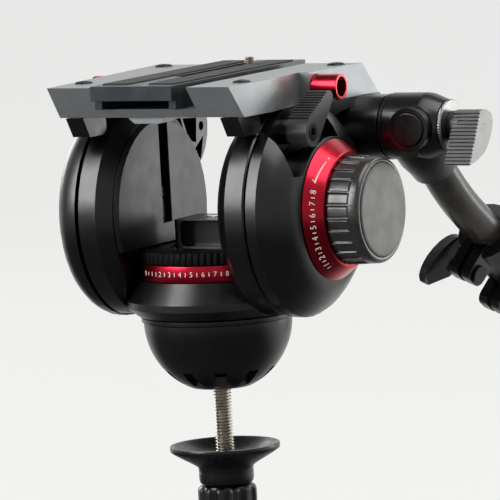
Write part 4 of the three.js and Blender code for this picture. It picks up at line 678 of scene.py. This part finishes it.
# %% Screws of the platform and the camera, and the level
hexagon = [
    (2 * pi * k / 48, 1 - cos(pi / 6) / cos(2 * pi * k / 48 % (pi / 3) - pi / 6)) for k in range(48)
]
screw_places = [(-45, -44), (45, -44), (-50, 46), (50, 46)]
for number, (across, back) in enumerate(screw_places, 1):
    turned(f"arm_screw_{number}_domed", [
        (0, 99.0), (2.2, 99.0), (2.2, 122.5), (4.7, 122.5), (4.95, 122.7), (5.0, 123.2), (4.85, 123.8),
        (4.3, 124.3), (3.5, 124.6), (2.7, 124.7), (2.25, 124.6), (2.1, 124.4, 2.1), (2.1, 123.2, 2.1),
        (0, 123.0),
    ], dark_steel, "tilt_body", Matrix.Translation((across, back, 0)), hexagon,
        f"arm_screw_{number}")
screw_spot = Matrix.Translation((-3.7, 54.0, 0.0))
turned("camera_screw_head", [
    (0, 113.5), (7.6, 113.5), (8.0, 113.8), (8.0, 116.4), (7.7, 116.7), (2.7, 116.7), (2.7, 118.0),
    (0, 118.0),
], steel, "camera_screw_body", screw_spot, plain_columns(64), "camera_screw")
turned("bubble_level_vial", [
    (0, 47.8), (5.9, 47.8), (6.0, 48.0), (6.0, 51.5), (5.85, 51.75), (5.4, 51.8), (5.0, 51.72), (4.9, 51.5),
    (4.7, 51.5), (3.0, 51.72), (0, 51.8),
], level_glass, "yoke_body", Matrix.Translation((0, 6.0, 0)), plain_columns(64),
    "bubble_level")
print("screws:", len(screw_places) + 1, "and a level")

# %% [markdown]
# A thread is one long strip wound round the axis: each pitch has a root, a flank, a crest and a flank.
# It is wound past both ends and then cut by two planes, which leaves flat closed ends. A Screw modifier
# makes the same helix, but its ends stay open.

# %% Threads
def threaded(name, radius, pitch, low, high, finish, body, place=UP, replaces=None):
    """A threaded rod between two heights, in millimetres."""
    around = 24
    root = radius - 0.613 * pitch
    section = [(0.0, root), (0.16, root), (0.5, radius), (0.63, radius)]
    turns = int((high - low) / pitch) + 3
    build = bmesh.new()
    strip = []
    for step in range(turns * around + 1):
        angle = 2 * pi * step / around
        base = low - 1.5 * pitch + pitch * step / around
        strip.append([build.verts.new((reach * cos(angle), reach * sin(angle), base + share * pitch))
                      for share, reach in section])
    for step in range(turns * around):
        for k in range(3):
            build.faces.new((strip[step][k], strip[step + 1][k], strip[step + 1][k + 1], strip[step][k + 1]))
        if step + 1 + around < len(strip):
            build.faces.new((strip[step][3], strip[step + 1][3],
                             strip[step + 1 + around][0], strip[step + around][0]))
    for height, upward in ((low, False), (high, True)):
        all_parts = build.verts[:] + build.edges[:] + build.faces[:]
        bmesh.ops.bisect_plane(build, geom=all_parts, plane_co=(0, 0, height), plane_no=(0, 0, 1),
                               clear_outer=upward, clear_inner=not upward)
    open_edges = [edge for edge in build.edges if edge.is_boundary]
    bmesh.ops.holes_fill(build, edges=open_edges)
    for vertex in build.verts:
        vertex.co = place @ vertex.co * MM
    bmesh.ops.recalc_face_normals(build, faces=build.faces)
    for face in build.faces:
        face.smooth = True
    data = bpy.data.meshes.new(name)
    build.to_mesh(data)
    build.free()
    data.materials.append(finish.material)
    piece = link(data, name)
    sharpen(piece, 25)
    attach(piece, body)
    if replaces:
        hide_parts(replaces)
    print(name, "turns:", round((high - low) / pitch, 1))


stud_pitch = 25.4 / 16
camera_pitch = 25.4 / 20
threaded("tie_down_stud_threaded", 4.75, stud_pitch, -108.1, -16.1, steel, "base",
         replaces="tie_down_stud")
threaded("camera_screw_thread", 3.1, camera_pitch, 117.5, 127.6, steel, "camera_screw_body",
         screw_spot)

# %% [markdown]
# The pan handle leaves its head on a bend and then runs straight, and its tube, grip and cap share one
# line. The bend is an arc that ends in the straight line, so a ring of points carried along it makes
# the tube. A curve object with depth would do the same, but its wall would have no inside.

# %% Handle
SWING = Vector((0, 55.0, 91.5))
bend_start = Vector((8.0, -10.5))
bend_end = Vector((54.0, -51.2))
end_slope = 0.5585
chord = bend_end - bend_start
chord_slope = atan2(-chord.y, chord.x)
half_bend = chord_slope - end_slope
bend_radius = chord.length / (2 * sin(half_bend))
start_slope = chord_slope + half_bend
tail_along = Vector((0, cos(end_slope), -sin(end_slope)))
tail_start = SWING + Vector((90.0, bend_end.x, bend_end.y))


def handle_line():
    """Places along the middle of the bent tube, with the direction at each."""
    line = []
    for step in range(25):
        slope = start_slope - 2 * half_bend * step / 24
        back = bend_start.x + bend_radius * (sin(start_slope) - sin(slope))
        up = bend_start.y - bend_radius * (cos(slope) - cos(start_slope))
        line.append((SWING + Vector((90.0, back, up)), Vector((0, cos(slope), -sin(slope)))))
    line.append((tail_start + tail_along * 142.0, tail_along))
    return line


def swept_tube(name, line, outer, inner, finish, body, replaces):
    """A tube round a line: its wall goes out along the outer radius and comes back along the inner one."""
    around = 64
    points = []
    stations = [(place, along, outer) for place, along in line]
    stations += [(place, along, inner) for place, along in line[::-1]]
    for place, along, radius in stations:
        aside = Vector((1, 0, 0))
        upward = aside.cross(along)
        for k in range(around):
            angle = 2 * pi * k / around
            points.append((place + radius * (cos(angle) * aside + sin(angle) * upward)) * MM)
    faces = []
    for row in range(len(stations)):
        low = row * around
        high = (row + 1) % len(stations) * around
        faces += [(low + k, low + (k + 1) % around, high + (k + 1) % around, high + k) for k in range(around)]
    piece = mesh_piece(name, points, faces, finish)
    sharpen(piece)
    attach(piece, body)
    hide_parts(replaces)


swept_tube("handle_arm_swept", handle_line(), 9.4, 7.4, tube_paint, "handle_body",
           "handle_arm")
tail_side = Vector((1, 0, 0))
tail_turn = Matrix((tail_side, tail_along.cross(tail_side), tail_along)).transposed().to_4x4()
TAIL = Matrix.Translation(tail_start) @ tail_turn
turned("handle_tube_turned", [
    (9.7, 23.0), (12.2, 23.0), (12.5, 23.3), (12.5, 220.7), (12.2, 221.0), (9.7, 221.0),
], tube_paint, "handle_tube_body", TAIL, plain_columns(72), "handle_tube")
grip_rows = [(12.8, 105.0), (14.2, 105.0), (14.9, 105.5), (15.2, 106.4)]
for ring in range(25):
    start = 107.2 + ring * 4.3
    grip_rows += [
        (15.4, start), (15.4, start + 2.3), (14.9, start + 2.8), (14.75, start + 3.3), (14.9, start + 3.8),
    ]
grip_rows += [(15.3, 215.3), (15.0, 216.3), (14.2, 217.0), (12.8, 217.0)]
turned("handle_grip_ringed", grip_rows, soft_rubber, "handle_tube_body", TAIL, plain_columns(72),
       "handle_grip")
turned("handle_end_cap_turned", [
    (0, 213.0), (9.4, 213.0), (9.4, 221.3), (14.6, 221.3), (15.0, 221.7), (15.0, 223.6), (14.5, 225.2),
    (13.4, 226.4), (12.0, 227.0), (10.0, 227.0), (9.6, 226.7), (9.2, 226.5), (0, 226.5),
], soft_rubber, "handle_tube_body", TAIL, plain_columns(72), "handle_end_cap")
print("handle: bend radius in mm", round(bend_radius, 1))

# %% [markdown]
# The two red rings carry a plain printed scale. Text is a curve in Blender, so each number becomes a
# thin mesh and every point of it is then laid round the ring, on a cone or on a cylinder. A texture
# would print it too, but numbers in the mesh stay sharp from close by.

# %% Printed scales
def ink(name, body, wrap, marks):
    """Marks hold text or corner points, and where their middle lies: an angle and a height up the ring."""
    points = []
    faces = []
    for content, angle, height, size in marks:
        if isinstance(content, str):
            curve = bpy.data.curves.new("number", "FONT")
            curve.body = content
            curve.size = size
            curve.align_x = "CENTER"
            curve.align_y = "CENTER"
            curve.extrude = 0.06
            curve.resolution_u = 3
            holder = link(curve, "number")
            graph = bpy.context.evaluated_depsgraph_get()
            shape = bpy.data.meshes.new_from_object(holder.evaluated_get(graph))
            flat = [tuple(vertex.co) for vertex in shape.vertices]
            shape_faces = [tuple(polygon.vertices) for polygon in shape.polygons]
            bpy.data.objects.remove(holder)
            bpy.data.meshes.remove(shape)
        else:
            count = len(content)
            flat = [(x, y, 0.06) for x, y in content] + [(x, y, -0.06) for x, y in content]
            shape_faces = [tuple(range(count)), tuple(range(2 * count - 1, count - 1, -1))]
            shape_faces += [(k, k + count, (k + 1) % count + count, (k + 1) % count) for k in range(count)]
        first = len(points)
        points += [wrap(angle, across, height + up, out) for across, up, out in flat]
        faces += [tuple(first + index for index in face) for face in shape_faces]
    piece = mesh_piece(name, points, faces, white_ink, smooth=False)
    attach(piece, body)


def on_tilt_ring(angle, across, up, out):
    """The cone of the tilt ring: numbers stand with their heads towards the wide end."""
    wide_radius = 35.15
    wide_height = 70.6
    shrink = 6.0
    rise = 7.9
    length = hypot(shrink, rise)
    share = 0.5 - up / length
    radius = wide_radius - shrink * share
    spot = radians(angle) - across / radius
    reach = radius + out * rise / length
    height = wide_height + rise * share + out * shrink / length
    return SIDEWAYS @ Vector((reach * cos(spot), reach * sin(spot), height)) * MM


def on_pan_ring(angle, across, up, out):
    """The upright outside of the pan ring."""
    ring_radius = 39.0
    ring_middle = 26.8
    spot = radians(angle) + across / ring_radius
    reach = ring_radius + out
    return Vector((reach * cos(spot), reach * sin(spot), ring_middle + up)) * MM


def slice_of_arrow(start, end):
    """A short piece of a long tapered stroke. A flat piece of its full length would sink into the cone."""
    near, far = [(-7.0 + 14.0 * share, -0.2 - 1.8 * share, 0.45 + 0.4 * (1 - share))
                 for share in (start, end)]
    return [
        (near[0], near[1]), (far[0], far[1]), (far[0], far[1] + far[2]), (near[0], near[1] + near[2]),
    ]


tick = [(-0.22, -1.0), (0.22, -1.0), (0.22, 1.0), (-0.22, 1.0)]
dot = [(0.55 * cos(2 * pi * k / 12), 0.55 * sin(2 * pi * k / 12)) for k in range(12)]
short_stroke = [(-7.3, -0.2), (-6.9, -0.3), (-5.5, 1.7), (-5.9, 1.9)]
tilt_marks = [(dot, 119, -1.9, 0), (short_stroke, 137, 0.0, 0)]
tilt_marks += [(slice_of_arrow(step / 10, (step + 1) / 10), 137, 0.0, 0) for step in range(10)]
for number in range(8):
    angle = 158 + 10.5 * number
    tilt_marks.append((str(8 - number), angle, 0.0, 4.4))
    tilt_marks.append((tick, angle + 5.25, 0.0, 0))
ink("tilt_ring_scale", "tilt_body", on_tilt_ring, tilt_marks)
pan_marks = []
for number in range(10):
    angle = -124 + 9 * number
    pan_marks.append((str(number), angle, 0.0, 3.6))
    pan_marks.append((tick, angle + 4.5, 0.0, 0))
ink("pan_ring_scale", "yoke_body", on_pan_ring, pan_marks)
made = [piece for piece in bpy.data.objects if piece.type == "MESH"]
print("pieces made here:", len(made) - len(nodes) - 1)
